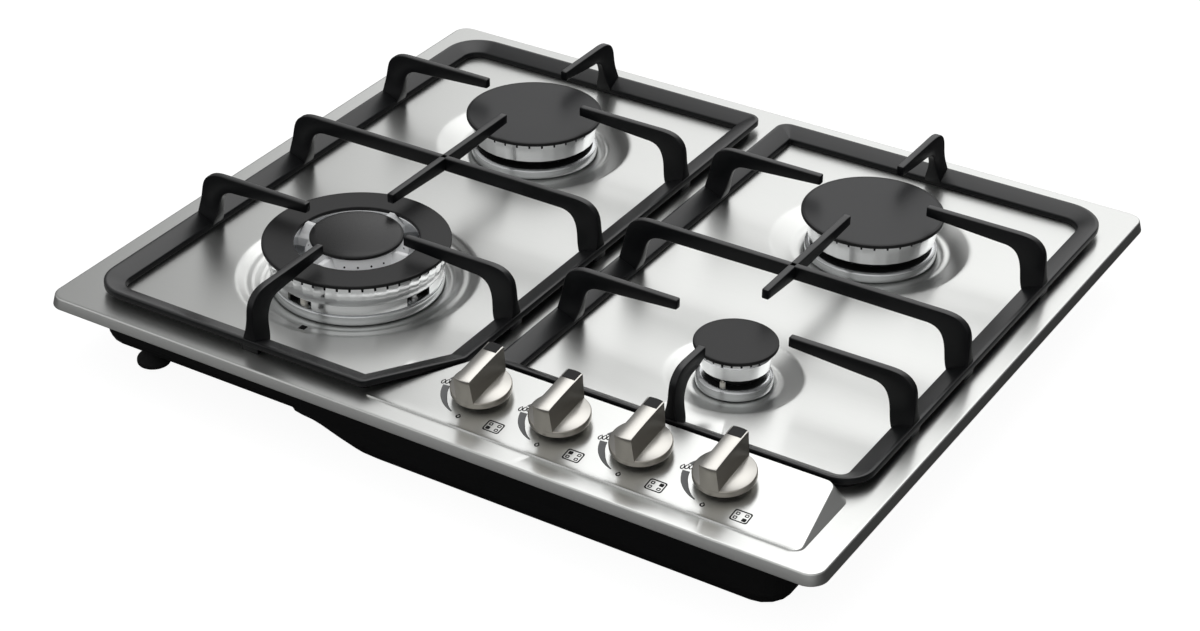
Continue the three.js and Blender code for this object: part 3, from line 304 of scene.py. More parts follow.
def facing(points: Array, towards: Sequence[float]) -> Array:
    """Grid whose columns are turned round if its first row of faces looks away from a direction.

    Args:
        points: rows and columns of points.
        towards: the direction that the faces should look in.

    Returns:
        The grid.
    """
    across = points[1, 1:] - points[1, :-1]
    down = points[1, :-1] - points[0, :-1]
    looks = np.cross(across, down).sum(0) @ np.asarray(towards, float)
    return points if looks >= 0 else points[:, ::-1]


def linked(name: str, data: bpy.types.ID) -> bpy.types.Object:
    """Object in the scene that holds a mesh, a lamp's data or a camera's data.

    Args:
        name: name of the object.
        data: what it holds.

    Returns:
        The object.
    """
    made = bpy.data.objects.new(name, data)
    bpy.context.scene.collection.objects.link(made)
    return made


def make_piece(
    name: str,
    patches: Sequence[Patch],
    finishes: Sequence[bpy.types.Material],
    body: str,
    replaces: Sequence[str] = (),
    sheet: float = 0,
    crease: float = 32,
) -> bpy.types.Object:
    """Joins patches into one mesh object and ties it to the CAD frame.

    Args:
        name: name of the piece.
        patches: its surfaces.
        finishes: its materials, by the patches' finish numbers.
        body: the CAD body that carries it.
        replaces: the CAD nodes that it stands for.
        sheet: thickness that an open surface is given below itself.
        crease: edges sharper than this angle in degrees stay sharp.

    Returns:
        The object.
    """
    counts = np.cumsum([0] + [p.points.shape[0] * p.points.shape[1] for p in patches])
    points = np.concatenate([p.points.reshape(-1, 3) for p in patches])
    faces = [p.quads(int(start)) for p, start in zip(patches, counts)]
    numbers = np.concatenate([np.full(len(f), p.finish) for f, p in zip(faces, patches)])
    mesh = bpy.data.meshes.new(name)
    mesh.from_pydata((points + [0, 0, DECK]) * MM, [], np.concatenate(faces))
    mesh.polygons.foreach_set("material_index", numbers.astype(np.int32))
    work = bmesh.new()
    work.from_mesh(mesh)
    bmesh.ops.remove_doubles(work, verts=work.verts, dist=MERGE_DISTANCE)
    if sheet == 0:
        bmesh.ops.recalc_face_normals(work, faces=work.faces)
    work.to_mesh(mesh)
    work.free()
    mesh.shade_smooth()
    mesh.set_sharp_from_angle(angle=float(np.radians(crease)))
    for finish in finishes:
        mesh.materials.append(finish)
    piece = linked(name, mesh)
    if sheet > 0:
        wall = piece.modifiers.new("sheet", "SOLIDIFY")
        wall.thickness = sheet * MM
        wall.offset = -1
    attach(piece, body)
    if replaces:
        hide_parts(*replaces)
    LOG.info("%s: %d faces", name, len(mesh.polygons))
    return piece


# ---------------------------------------------------------------- finishes


def linear(level: float) -> float:
    """Linear value of a level from 0 to 255."""
    share = level / 255
    return share / 12.92 if share <= 0.04045 else ((share + 0.055) / 1.055) ** 2.4


def colour(red: float, green: float, blue: float) -> tuple[float, float, float, float]:
    """Linear colour of three levels from 0 to 255."""
    return (linear(red), linear(green), linear(blue), 1.0)


# What the patterns of all finishes have in common.
FINE_SHARE = 0.65
BROAD_SCALE = 14.0
BUMP_STRENGTH = 0.6
UPWARD_RANGE = (0.3, 0.9)


class Grain(Enum):
    """How a surface's fine pattern runs."""

    BRUSHED = "brushed"
    CAST = "cast"
    TURNED = "turned"
    MOULDED = "moulded"


class Nodes:
    """Node tree of one material or of the world, filled node by node."""

    def __init__(self, owner: bpy.types.Material | bpy.types.World) -> None:
        """Empties the owner's node tree.

        Args:
            owner: the material or world.
        """
        owner.use_nodes = True
        self.tree = owner.node_tree
        self.tree.nodes.clear()

    def add(self, kind: str, inputs: dict[Any, Any] | None = None, **settings: Any) -> bpy.types.Node:
        """Adds a node.

        Args:
            kind: the node's type, without its prefix.
            inputs: values or sockets by the name or the number of the input.
            settings: the node's own properties.

        Returns:
            The node.
        """
        node = self.tree.nodes.new("ShaderNode" + kind)
        for key, value in settings.items():
            setattr(node, key, value)
        for key, value in (inputs or {}).items():
            if isinstance(value, bpy.types.NodeSocket):
                self.tree.links.new(value, node.inputs[key])
            else:
                node.inputs[key].default_value = value
        return node

    def maths(self, operation: str, *values: Any) -> bpy.types.NodeSocket:
        """Result of a Math node."""
        return self.add("Math", dict(enumerate(values)), operation=operation).outputs[0]

    def ramp(self, value: Any, stops: Sequence[tuple[float, float]]) -> bpy.types.NodeSocket:
        """Value of a line through stops.

        Args:
            value: the place on the line, from 0 to 1, or its socket.
            stops: places with their levels, rising.

        Returns:
            The socket with the level.
        """
        node = self.add("ValToRGB", {0: value})
        elements = node.color_ramp.elements
        while len(elements) < len(stops):
            elements.new(0.5)
        for element, (place, level) in zip(elements, stops):
            element.position = place
            element.color = (level, level, level, 1)
        return node.outputs[0]


@dataclass(frozen=True)
class Finish:
    """A surface finish: its colour, gloss and grain.

    Its patterns vary the tone by the share tone_change and the roughness by gloss_change. The
    bump is a height in millimetres, and painted_top_sheen is the specular level of faces that look
    up, a painted sheen on the tops, where that differs.
    """

    name: str
    tone: tuple[float, float, float]
    roughness: float
    metallic: float = 0.0
    grain: Grain = Grain.MOULDED
    scale: float = 900.0
    tone_change: float = 0.12
    gloss_change: float = 0.08
    bump: float = 0.02
    specular: float = 0.5
    coat: float = 0.0
    streak: float = 0.0
    painted_top_sheen: float | None = None

    def pattern(self, nodes: Nodes, centre: Sequence[float]) -> bpy.types.NodeSocket:
        """Fine pattern from 0 to 1.

        Args:
            nodes: the tree that it is added to.
            centre: axis in plan of a turned finish, in metres.

        Returns:
            The socket with the pattern.
        """
        place = nodes.add("TexCoord").outputs["Object"]
        stretch = {Grain.BRUSHED: (0.03, 1.0, 1.0)}.get(self.grain, (1.0, 1.0, 1.0))
        mapping = nodes.add("Mapping", {"Vector": place, "Scale": stretch})
        if self.grain is Grain.TURNED:
            mapping.inputs["Location"].default_value = (-centre[0], -centre[1], 0)
            parts = nodes.add("SeparateXYZ", {0: mapping.outputs[0]}).outputs
            square = [nodes.maths("MULTIPLY", part, part) for part in parts[:2]]
            radius = nodes.maths("SQRT", nodes.maths("ADD", *square))
            lathe = nodes.add("CombineXYZ", {0: radius, 1: parts[2]})
            source = lathe.outputs[0]
        else:
            source = mapping.outputs[0]
        detail = {Grain.CAST: 6.0, Grain.BRUSHED: 4.0}.get(self.grain, 3.0)
        noise = nodes.add("TexNoise", {"Vector": source, "Scale": self.scale, "Detail": detail})
        return noise.outputs[0]

    def material(self, centre: Sequence[float] = (0, 0)) -> bpy.types.Material:
        """Material of this finish.

        Tone and roughness vary with a weighted sum of a fine and a broad pattern. The specular
        level runs to the painted sheen of the top faces as the normal's z rises through the upward range.

        Args:
            centre: axis in plan of a turned finish, in metres.

        Returns:
            The material, made once for each finish and axis.
        """
        axis = f"_{centre[0]:.3f}_{centre[1]:.3f}" if self.grain is Grain.TURNED else ""
        name = f"{self.name}_finish{axis}"
        made = bpy.data.materials.get(name)
        if made:
            return made
        made = bpy.data.materials.new(name)
        nodes = Nodes(made)
        fine = self.pattern(nodes, centre)
        place = nodes.add("TexCoord").outputs["Object"]
        broad = nodes.add("TexNoise", {"Vector": place, "Scale": BROAD_SCALE, "Detail": 2.0}).outputs[0]
        shares = ((fine, FINE_SHARE), (broad, 1 - FINE_SHARE))
        both = nodes.maths("ADD", *[nodes.maths("MULTIPLY", value, share) for value, share in shares])
        base = colour(*self.tone)
        low = tuple(c * (1 - self.tone_change) for c in base[:3]) + (1.0,)
        high = tuple(min(1.0, c * (1 + self.tone_change)) for c in base[:3]) + (1.0,)
        mixed = nodes.add("Mix", {0: both, 6: low, 7: high}, data_type="RGBA").outputs[2]
        spread = nodes.maths("MULTIPLY", nodes.maths("SUBTRACT", both, 0.5), 2 * self.gloss_change)
        gloss = nodes.maths("ADD", spread, self.roughness)
        bump = nodes.add("Bump", {"Height": fine, "Strength": BUMP_STRENGTH, "Distance": self.bump * MM})
        inputs = {}
        if self.streak:
            normal = nodes.add("NewGeometry").outputs["Normal"]
            across = nodes.add("VectorMath", {0: (1, 0, 0), 1: normal}, operation="CROSS_PRODUCT")
            inputs = {"Anisotropic": self.streak, "Tangent": across.outputs[0]}
        specular: Any = self.specular
        # Painted sheen: faces that look up get their own specular level, so the tops shine more than the
        # sides.
        if self.painted_top_sheen is not None:
            normal = nodes.add("NewGeometry").outputs["Normal"]
            upward = nodes.add("SeparateXYZ", {0: normal}).outputs["Z"]
            specular = nodes.ramp(upward, list(zip(UPWARD_RANGE, (self.specular, self.painted_top_sheen))))
        shader = nodes.add(
            "BsdfPrincipled",
            inputs | {
                "Base Color": mixed,
                "Metallic": self.metallic,
                "Roughness": gloss,
                "Normal": bump.outputs[0],
                "Specular IOR Level": specular,
                "Coat Weight": self.coat,
            },
        )
        nodes.add("OutputMaterial", {0: shader.outputs[0]})
        return made


# Name, tone, roughness, metallic share, grain, scale, tone change, gloss change, bump, specular, coat.
PLATE_STEEL = Finish(
    "plate_steel", (212, 213, 211), 0.3, 1.0, Grain.BRUSHED, 2600, 0.05, 0.05, 0.004, streak=0.75
)
PAN_BLACK = Finish("pan_black", (14, 14, 15), 0.5, 0.0, Grain.CAST, 500, 0.2, 0.08, 0.02, 0.25)
FOOT_RUBBER = Finish("foot_rubber", (20, 20, 21), 0.75, 0.0, Grain.CAST, 900, 0.2, 0.06, 0.03, 0.25)
# The iron's tops get a higher specular level than its sides: painted sheen.
GRATE_IRON = Finish(
    "grate_iron", (13, 14, 16), 0.34, 0.0, Grain.CAST, 1100, 0.25, 0.08, 0.03, 0.22, painted_top_sheen=0.52
)
HEAD_ALUMINIUM = Finish("head_aluminium", (226, 227, 228), 0.16, 1.0, Grain.TURNED, 2400, 0.05, 0.04, 0.002)
CAP_ENAMEL = Finish("cap_enamel", (25, 26, 28), 0.42, 0.0, Grain.CAST, 1500, 0.06, 0.05, 0.006, 0.36)
CAP_DARK = Finish("cap_dark", (17, 17, 18), 0.4, 0.0, Grain.CAST, 1500, 0.06, 0.05, 0.006, 0.28)
# One dark enamel for the rims and undersides of all caps, darker than the plain caps' and the ring cap's
# tops: painted shade on their sides.
CAP_EDGE_SHADE = Finish("cap_edge_painted_shade", (14, 14, 15), 0.45, 0.0, Grain.CAST, 1500, 0.1, 0.05, 0.01, 0.3)
CAP_BLACK = Finish("cap_black", (10, 10, 11), 0.28, 0.0, Grain.CAST, 1200, 0.1, 0.05, 0.006, 0.3, 0.05)
# Black for the gap under each crown, the slot in the front left well, the edge of the wok's plate and the
# holes in its shoulder: painted shade where only shade falls.
PAINTED_SHADE = Finish("painted_shade_black", (9, 9, 10), 0.8, 0.0, Grain.CAST, 900, 0.2, 0.05, 0.02, 0.2)
CUP_ALUMINIUM = Finish("cup_aluminium", (214, 216, 217), 0.24, 1.0, Grain.TURNED, 1800, 0.06, 0.04, 0.002)
CAST_ALUMINIUM = Finish("cast_aluminium", (244, 245, 246), 0.5, 0.12, Grain.CAST, 1500, 0.05, 0.06, 0.01)
CERAMIC = Finish("rod_ceramic", (236, 232, 222), 0.28, 0.0, Grain.MOULDED, 700, 0.03, 0.04, 0.004)
ROD_STEEL = Finish("rod_steel", (190, 190, 190), 0.3, 1.0, Grain.BRUSHED, 2200, 0.06, 0.05, 0.004)
BRASS = Finish("fitting_brass", (196, 160, 92), 0.32, 1.0, Grain.CAST, 1600, 0.08, 0.06, 0.006)
KNOB_NICKEL = Finish("knob_nickel", (182, 180, 175), 0.3, 1.0, Grain.CAST, 3200, 0.04, 0.04, 0.004)
# A slightly darker, warmer copy of the knobs' nickel for their sides: painted shade.
KNOB_SIDE_SHADE = Finish("knob_side_painted_shade", (176, 172, 164), 0.34, 1.0, Grain.CAST, 3200, 0.05, 0.04, 0.004)
MARKER_BLACK = Finish("marker_black", (14, 14, 15), 0.5, 0.0, Grain.MOULDED, 1200, 0.1, 0.04, 0.004, 0.25)
MARK_GREY = Finish("mark_grey", (120, 121, 122), 0.6, 0.0, Grain.MOULDED, 1200, 0.05, 0.04, 0.002, 0.2)
MARK_DARK = Finish("mark_dark", (13, 13, 14), 0.6, 0.0, Grain.MOULDED, 1200, 0.05, 0.04, 0.002, 0.2)
TUBE_ALUMINIUM = Finish("tube_aluminium", (196, 198, 199), 0.38, 1.0, Grain.CAST, 1500, 0.06, 0.06, 0.006)
RAIL_STEEL = Finish("rail_steel", (176, 178, 180), 0.42, 1.0, Grain.CAST, 1200, 0.1, 0.08, 0.008)
PLASTIC_BLACK = Finish("plastic_black", (30, 30, 31), 0.5, 0.0, Grain.MOULDED, 1400, 0.12, 0.05, 0.01)


# ---------------------------------------------------------------- top plate


@dataclass(frozen=True)
class Well:
    """Pressed well of a burner: rows of radius and height from its rim to its hole."""

    burner: str
    rim: tuple[tuple[float, float], ...]
    hole: float
    margin: float = 4
    first_bend: float = 2.2
    bend: float = 1.8

    def profile(self) -> Array:
        """Section of the well, with its bends rounded and a flat margin outside its rim.

        Returns:
            Rows of radius and height.
        """
        corners = [(self.rim[0][0] + self.margin, 0), *self.rim, (self.hole, self.rim[-1][1])]
        radii = [self.first_bend] + [self.bend] * (len(self.rim) - 1)
        return fillet(np.array(corners), radii, 5)


@dataclass
class Plate:
    """Steel top plate: folded rim, four pressed wells and the raised control panel."""

    half_width: float = 297
    half_depth: float = 256.5
    corner: float = 13
    flare: float = 1.6
    edge: float = 1.6
    hem: float = 9
    split: tuple[float, float] = (6, 0)
    pitch: float = 4
    panel_front: float = -239.5
    panel_rear: float = -174
    panel_rise: float = 9
    panel_right: float = 275
    right_run: float = 10.3
    left_corner: tuple[float, float] = (-43.1, -239)
    left_run: float = 0.7154
    underlap: tuple[float, float, float] = (4, 3, 2)
    lip: float = 1.4
    lip_fade: float = 2
    sheet: float = 0.9
    slot: tuple[tuple[float, float], ...] = (
        (-128.4, -193.9), (-123.6, -193.9), (-123.6, -187.9), (-128.4, -187.9),
    )
    wells: tuple[Well, ...] = (
        Well("rear_left", ((72.5, 0), (56.5, -5)), 44),
        Well("rear_right", ((70.5, 0), (55.5, -5)), 43),
        Well("front_right", ((45.7, 0), (31.5, -5)), 22.2),
        Well("front_left", ((84, 0), (78, -3), (72.5, -3), (67, -6)), 57.5),
    )

    @property
    def border(self) -> tuple[float, float, float]:
        """Half width, half depth and corner radius of the flat face inside the rim's bend."""
        inset = self.flare + self.edge
        return self.half_width - inset, self.half_depth - inset, self.corner - inset

    @property
    def slope(self) -> float:
        """Rise of the panel for each millimetre to the back."""
        return self.panel_rise / (self.panel_rear - self.panel_front)

    def left_at(self, y: float | Array) -> float | Array:
        """x of the panel's left side, which runs beside the cut corner of the pan support."""
        return self.left_corner[0] + (y - self.left_corner[1]) * self.left_run

    def panel_height(self, y: Array) -> Array:
        """Height of the panel: an even slope, with a small lip that fades behind its front."""
        back = np.asarray(y) - self.panel_front
        return self.slope * back + self.lip * np.exp(-np.maximum(back, 0) / self.lip_fade)

    def run(self, start: Sequence[float], end: Sequence[float]) -> Array:
        """Points on a straight way at an even pitch.

        Args:
            start: where it starts.
            end: where it ends.

        Returns:
            The points, without the end.
        """
        start, end = np.asarray(start, float), np.asarray(end, float)
        count = max(1, int(round(np.linalg.norm(end - start) / self.pitch)))
        return start + (end - start) * np.arange(count)[:, None] / count

    def boundary(self, side_x: int, side_y: int) -> Array:
        """Border of one quarter of the flat face.

        The quarter is walked round from its inner corner: along the line between front and
        back, up the outer side, round the plate's corner in equal angles, along the far side
        and home. The same walk is mirrored for each quarter, so that neighbours share points.

        Args:
            side_x: 1 for the right, -1 for the left.
            side_y: 1 for the back, -1 for the front.

        Returns:
            The points.
        """
        split_x, split_y = side_x * self.split[0], side_y * self.split[1]
        wide, deep, round_off = self.border
        angle = np.linspace(0, np.pi / 2, 13)
        arc = np.stack([np.cos(angle), np.sin(angle)], -1) * round_off
        arc += [wide - round_off, deep - round_off]
        walk = [
            self.run((split_x, split_y), (wide, split_y)),
            self.run((wide, split_y), (wide, deep - round_off)),
            arc[:-1],
            self.run(arc[-1], (split_x, deep)),
            self.run((split_x, deep), (split_x, split_y)),
        ]
        return np.concatenate(walk) * [side_x, side_y]

    def outward(self, points: Array) -> Array:
        """Way out of the flat face at points of its border, and zero at points inside it.

        Each border point lies at the corner's radius from the nearest point of the rectangle
        that the corner arcs leave over, and its way out leads away from there.

        Args:
            points: points of the flat face in plan.

        Returns:
            A way of length 1, or zero, for each point.
        """
        wide, deep, round_off = self.border
        beyond = np.maximum(np.abs(points) - [wide - round_off, deep - round_off], 0)
        length = np.linalg.norm(beyond, axis=1, keepdims=True)
        return np.where(length > round_off - 1e-4, np.sign(points) * beyond / round_off, 0)

    def quarter(self, well: Well, side_x: int, side_y: int) -> Patch:
        """Quarter of the plate: rows run from its border to the well's rim and down the well.

        Each column starts at a point of the border and keeps its direction from the burner's
        axis. Its rows go in uneven steps to the well's rim and then follow the well's profile.

        Args:
            well: the well in this quarter.
            side_x: 1 for the right, -1 for the left.
            side_y: 1 for the back, -1 for the front.

        Returns:
            The grid, less the faces under the panel.
        """
        centre = centre_of(f"burner_cup_{well.burner}")
        border = self.boundary(side_x, side_y)
        away = border - centre
        away /= np.linalg.norm(away, axis=1, keepdims=True)
        profile = well.profile()
        rings = centre + profile[:, :1, None] * away[None]
        share = np.array([0, 0.006, 0.3, 0.65, 0.99])[:, None, None]
        flat = border * (1 - share) + rings[0] * share
        levels = np.broadcast_to(profile[:, 1:], rings.shape[:2])
        points = raised(np.concatenate([flat, rings]), np.concatenate([np.zeros(flat.shape[:2]), levels]))
        points = facing(points, (0, 0, 1))
        return Patch(points, keep=self.outside_panel(points))

    def outside_panel(self, points: Array) -> Array:
        """Tells which faces of a grid don't lie wholly under the raised panel.

        Args:
            points: the grid.

        Returns:
            For each face, whether it is kept.
        """
        x, y = points[..., 0], points[..., 1]
        side, near, far = self.underlap
        inside = (x > self.left_at(y) + side) & (x < self.panel_right - side)
        under = inside & (y > self.panel_front + near) & (y < self.panel_rear - far)
        under = np.concatenate([under, under[:, :1]], axis=1)
        hidden = under[:-1, :-1] & under[:-1, 1:] & under[1:, 1:] & under[1:, :-1]
        return ~hidden

    def rim(self) -> Patch:
        """Folded rim: the flat face's border carried outwards, down and back under.

        The border is walked round by quarters. Each of its points moves along its way out by
        the profile's first column and up by its second.

        Returns:
            The closed grid.
        """
        loops = []
        for side_x, side_y in ((1, 1), (-1, 1), (-1, -1), (1, -1)):
            points = self.boundary(side_x, side_y)
            rows = np.concatenate([points, self.outward(points)], axis=1)
            rows = rows[np.abs(rows[:, 2:]).sum(1) > 0.5]
            loops.append((rows if side_x * side_y > 0 else rows[::-1])[:-1])
        loop = np.concatenate(loops)
        reach = self.flare + self.edge
        bend = self.edge * (1 - self.flare / (RIM_HEIGHT - self.edge))
        corners = [(-2 * bend, 0), (bend, 0), (reach, -RIM_HEIGHT), (reach - self.hem, -RIM_HEIGHT)]
        profile = fillet(np.array(corners), (bend, 0.7), 6)[1:]
        plan = loop[None, :, :2] + profile[:, :1, None] * loop[None, :, 2:]
        return Patch(facing(raised(plan, profile[:, 1:]), (0, 0, 1)))

    def panel(self) -> Patch:
        """Raised panel: rings from the middle of its top out to its edge and down its walls.

        The top edge and the foot are rounded polygons of the same number of points. The top
        runs from the middle point to the edge in uneven steps at the panel's own height, and
        the wall goes straight to the foot, just under the plate's face.

        Returns:
            The closed grid.
        """
        front, rear, right = self.panel_front, self.panel_rear, self.panel_right
        edge = [
            (self.left_at(front) + 0.5, front + 0.4),
            (right - 0.6, front + 0.4),
            (right - self.right_run, rear),
            (self.left_at(rear) + 1.6, rear),
        ]
        foot = [
            (self.left_at(front), front),
            (right, front),
            (right, rear + 2),
            (self.left_at(rear + 2), rear + 2),
        ]
        top = rounded_outline(np.array(edge), (3, 7, 6.5, 4), 0, 10)
        low = rounded_outline(np.array(foot), (3.4, 7.6, 8.5, 5), 0, 10)
        middle = np.array([edge[2][0] / 2, (front + rear) / 2])
        share = np.array([0, 0.3, 0.6, 0.8, 0.9, 0.95, 0.975, 0.99])[:, None, None]
        inside = middle + (top - middle) * share
        inner = raised(inside, self.panel_height(inside[..., 1]))
        wall = np.stack(
            [
                inner[-1],
                raised(top, self.panel_height(top[:, 1])),
                raised(low, 0.0),
                raised(low, -0.8),
            ]
        )
        wall = fillet(wall, (0.7, 0.3), 5)
        return Patch(facing(np.concatenate([inner, wall[1:]]), (0, 0, 1)))

    def build(self) -> None:
        """Makes the plate and the small slot in the front left well, a black patch of painted shade."""
        steel = PLATE_STEEL.material()
        sides = {"rear_left": (-1, 1), "rear_right": (1, 1), "front_right": (1, -1), "front_left": (-1, -1)}
        patches = [self.quarter(well, *sides[well.burner]) for well in self.wells]
        patches += [self.rim(), self.panel()]
        make_piece("top_plate_steel", patches, [steel], "base", ["top_plate"], self.sheet)
        # Painted shade: the slot is a thin black patch on the well's step, standing for the dark opening.
        slot = carried(np.array(self.slot), (0.8,) * 4, np.array([(0, -3.4), (0, -2.9), (0.7, -2.9)]))
        slot.points = closed_on_middle(slot.points)
        make_piece("well_slot", [slot], [PAINTED_SHADE.material()], "base")


# ---------------------------------------------------------------- pan supports


@dataclass
class PanSupport:
    """Cast pan support: a base bar round its edge and arms that rise from it."""

    name: str
    corners: tuple[tuple[float, float], ...]
    radii: tuple[float, ...]
    burners: tuple[str, str]
    front_bar: float = 15
    finger_shift: float = 0
    lean_out: float = 7.5
    lean_in: float = 4.1
    shoulder: tuple[float, float] = (15.5, 13)
    bar: float = 15
    top: float = 43
    width: float = 5.2
    tip_depth: float = 7.2
    cross_depth: float = 10.3
    tip_radius: float = 41
    cross_y: float = -8
    bar_top: float = 9.3
    leg_reach: float = 34
    edge: float = 0.8

    def base_bar(self) -> Patch:
        """Bar whose top slopes down inwards and whose outer side is undercut, carried round the outline.

        The front side of the outline moves inwards more slowly where its bar is narrower.

        Returns:
            The closed grid.
        """
        corners = [
            (9, 0.3), (6.4, 0.3), (5.8, 4.2), (0, 4.6), (0, 9.3), (2.4, 9.3), (15, 4.8), (15, 0.3), (9, 0.3),
        ]
        profile = fillet(np.array(corners), (0.4, 0.5, 0.6, 1.1, 0.7, 1.0, 0.6), 3)
        front = np.array(self.corners)[:, 1].min()
        rings = []
        for inset, z in profile:
            moved = np.array(self.corners, float)
            moved[moved[:, 1] == front, 1] -= (1 - self.front_bar / self.bar) * inset
            rings.append(raised(rounded_outline(moved, self.radii, inset, 10), z))
        return Patch(np.stack(rings))

    def leg(self, lean: float, bar: float) -> Array:
        """Stations of a leg and of the round into its finger, up to 35 mm inwards.

        The outer line rises, leans inwards evenly up to the shoulder at 30 mm and then follows
        a quarter of an ellipse to the top. The inner line moves with the bar's width.

        Args:
            lean: how far the outer line would lean inwards up to the top.
            bar: width of the bar under the leg.

        Returns:
            Rows of outer s, outer z, inner s, inner z and width.
        """
        z = np.array([0.3, 5.0, 9.3, 16.0, 22.0, 26.0, 30.0, 35.0, 39.2, 41.9, 43.0, 43.0])
        reach, height = self.shoulder
        start = self.top - height
        climb = start - self.bar_top
        whole = lean * climb / (self.top - self.bar_top)
        rising = 1 + (whole - 1) * np.clip((z - self.bar_top) / climb, 0, 1)
        turn = np.arcsin(np.clip((z - start) / height, 0, 1))
        s = rising + reach * (1 - np.cos(turn))
        s[-1] = self.leg_reach
        inner_s = np.array([14.0, 16.0, 17.4, 18.7, 19.8, 20.7, 21.7, 23.4, 26.0, 29.2, 32.0, 35.0])
        inner_s += bar - self.bar
        inner_z = np.array([0.3, 4.6, 8.6, 14.6, 19.6, 22.8, 25.4, 28.2, 30.4, 31.6, 32.0, 32.0])
        width = np.array([13.0, 13.0, 10.8, 6.9] + [self.width] * 8)
        return np.stack([s, z, inner_s, inner_z, width], axis=1)

    def tip(self, stations: Array, first: bool = False) -> Array:
        """Stations with a softly rounded end added.

        Args:
            stations: rows without shrink.
            first: whether to end the first row too.

        Returns:
            The rows with their shrink.
        """
        rows = np.concatenate([stations, np.zeros((len(stations), 1))], axis=1)

        def ending(row: Array, step: float) -> Array:
            """Three rows that shrink within the length of the edge's radius.

            Args:
                row: the row that they replace.
                step: 1 for an end, -1 for a start.

            Returns:
                The rows.
            """
            ends = np.repeat(row[None], 3, axis=0)
            ends[:, [0, 2]] += step * np.array([[-self.edge], [-0.25], [0.0]])
            ends[:, 5] = (0, 0.2, self.edge)
            return ends

        rows = np.concatenate([rows[:-1], ending(rows[-1], 1.0)])
        if first:
            rows = np.concatenate([ending(rows[0], -1.0)[::-1], rows[1:]])
        return rows

    def arm(
        self, place: Sequence[float], heading: float, length: float, lean: float, bar: float = 15
    ) -> Patch:
        """Leg with a finger that ends over a burner.

        Args:
            place: where the arm starts, on the outline.
            heading: its direction in degrees.
            length: how far its tip reaches.
            lean: how far its leg leans inwards.
            bar: width of the bar under it.

        Returns:
            The closed grid.
        """
        end = np.array([[length, self.top, length, self.top - self.tip_depth, self.width]])
        stations = self.tip(eased(np.concatenate([self.leg(lean, bar), end]), 48, 2))
        return swept_bar(stations, self.edge, np.asarray(place, float), heading)

    def bridge(self, place: Sequence[float], length: float) -> Patch:
        """Arm that crosses the whole support, with a leg at both ends.

        Args:
            place: where it starts, on the outline.
            length: width of the support.

        Returns:
            The closed grid.
        """
        low = self.top - self.cross_depth
        middle = np.array([[length / 2, self.top, length / 2, low, self.width]])
        back = self.leg(self.lean_in, self.bar)[::-1] * [-1, 1, -1, 1, 1] + [length, 0, length, 0, 0]
        stations = eased(np.concatenate([self.leg(self.lean_out, self.bar), middle, back]), 96, 2)
        rows = np.concatenate([stations, np.zeros((len(stations), 1))], axis=1)
        return swept_bar(rows, self.edge, np.asarray(place, float), 0)

    def finger(self, x: float, front: float, rear: float) -> Patch:
        """Straight finger across the bridge, with two tips.

        Args:
            x: place of the finger from left to right.
            front: y of its front tip.
            rear: y of its rear tip.

        Returns:
            The closed grid.
        """
        low, cross = self.top - self.tip_depth, self.top - self.cross_depth
        middle = self.cross_y - front
        keys = np.array(
            [
                (0, self.top, 0, low, self.width),
                (middle, self.top, middle, cross, self.width),
                (rear - front, self.top, rear - front, low, self.width),
            ]
        )
        return swept_bar(self.tip(eased(keys, 30, 2), True), self.edge, np.array([x, front]), 90)

    def build(self) -> None:
        """Makes the whole support as one casting."""
        xs, ys = np.array(self.corners)[:, 0], np.array(self.corners)[:, 1]
        left, right, front, rear = xs.min(), xs.max(), ys.min(), ys.max()
        back, near = (centre_of(f"burner_cup_{name}") for name in self.burners)
        middles = (back[0], near[0] + self.finger_shift)
        patches = [self.base_bar(), self.bridge((left, self.cross_y), right - left)]
        for x, y in zip(middles, (back[1], near[1])):
            patches.append(self.arm((left, y), 0, x - self.tip_radius - left, self.lean_out))
            patches.append(self.arm((right, y), 180, right - x - self.tip_radius, self.lean_in))
        patches.append(self.arm((middles[0], rear), -90, rear - back[1] - self.tip_radius, self.lean_out))
        reach = near[1] - self.tip_radius - front
        patches.append(self.arm((middles[1], front), 90, reach, self.lean_in, self.front_bar))
        patches.append(self.finger(back[0], near[1] + self.tip_radius, back[1] - self.tip_radius))
        iron = GRATE_IRON.material()
        make_piece(f"{self.name}_iron", patches, [iron], self.name, [self.name])


# ---------------------------------------------------------------- burners


@dataclass
class Burner:
    """What the burners share: an upright axis, and pieces named after the burner."""

    name: str

    @property
    def centre(self) -> Array:
        """Axis of the burner in plan."""
        return centre_of(f"burner_cup_{self.name}")

    def piece(
        self,
        kind: str,
        patches: Sequence[Patch],
        finishes: Sequence[bpy.types.Material],
        body: str,
        slot: str,
        node: str,
    ) -> None:
        """Makes one piece of the burner.

        Args:
            kind: the piece's name without the burner's.
            patches: its surfaces.
            finishes: its materials, by the patches' finish numbers.
            body: the CAD body that carries it.
            slot: the record's material slot; not used.
            node: name of the CAD node that it stands for, without the burner's.
        """
        make_piece(f"{kind}_{self.name}", patches, finishes, body, [f"{node}_{self.name}"])


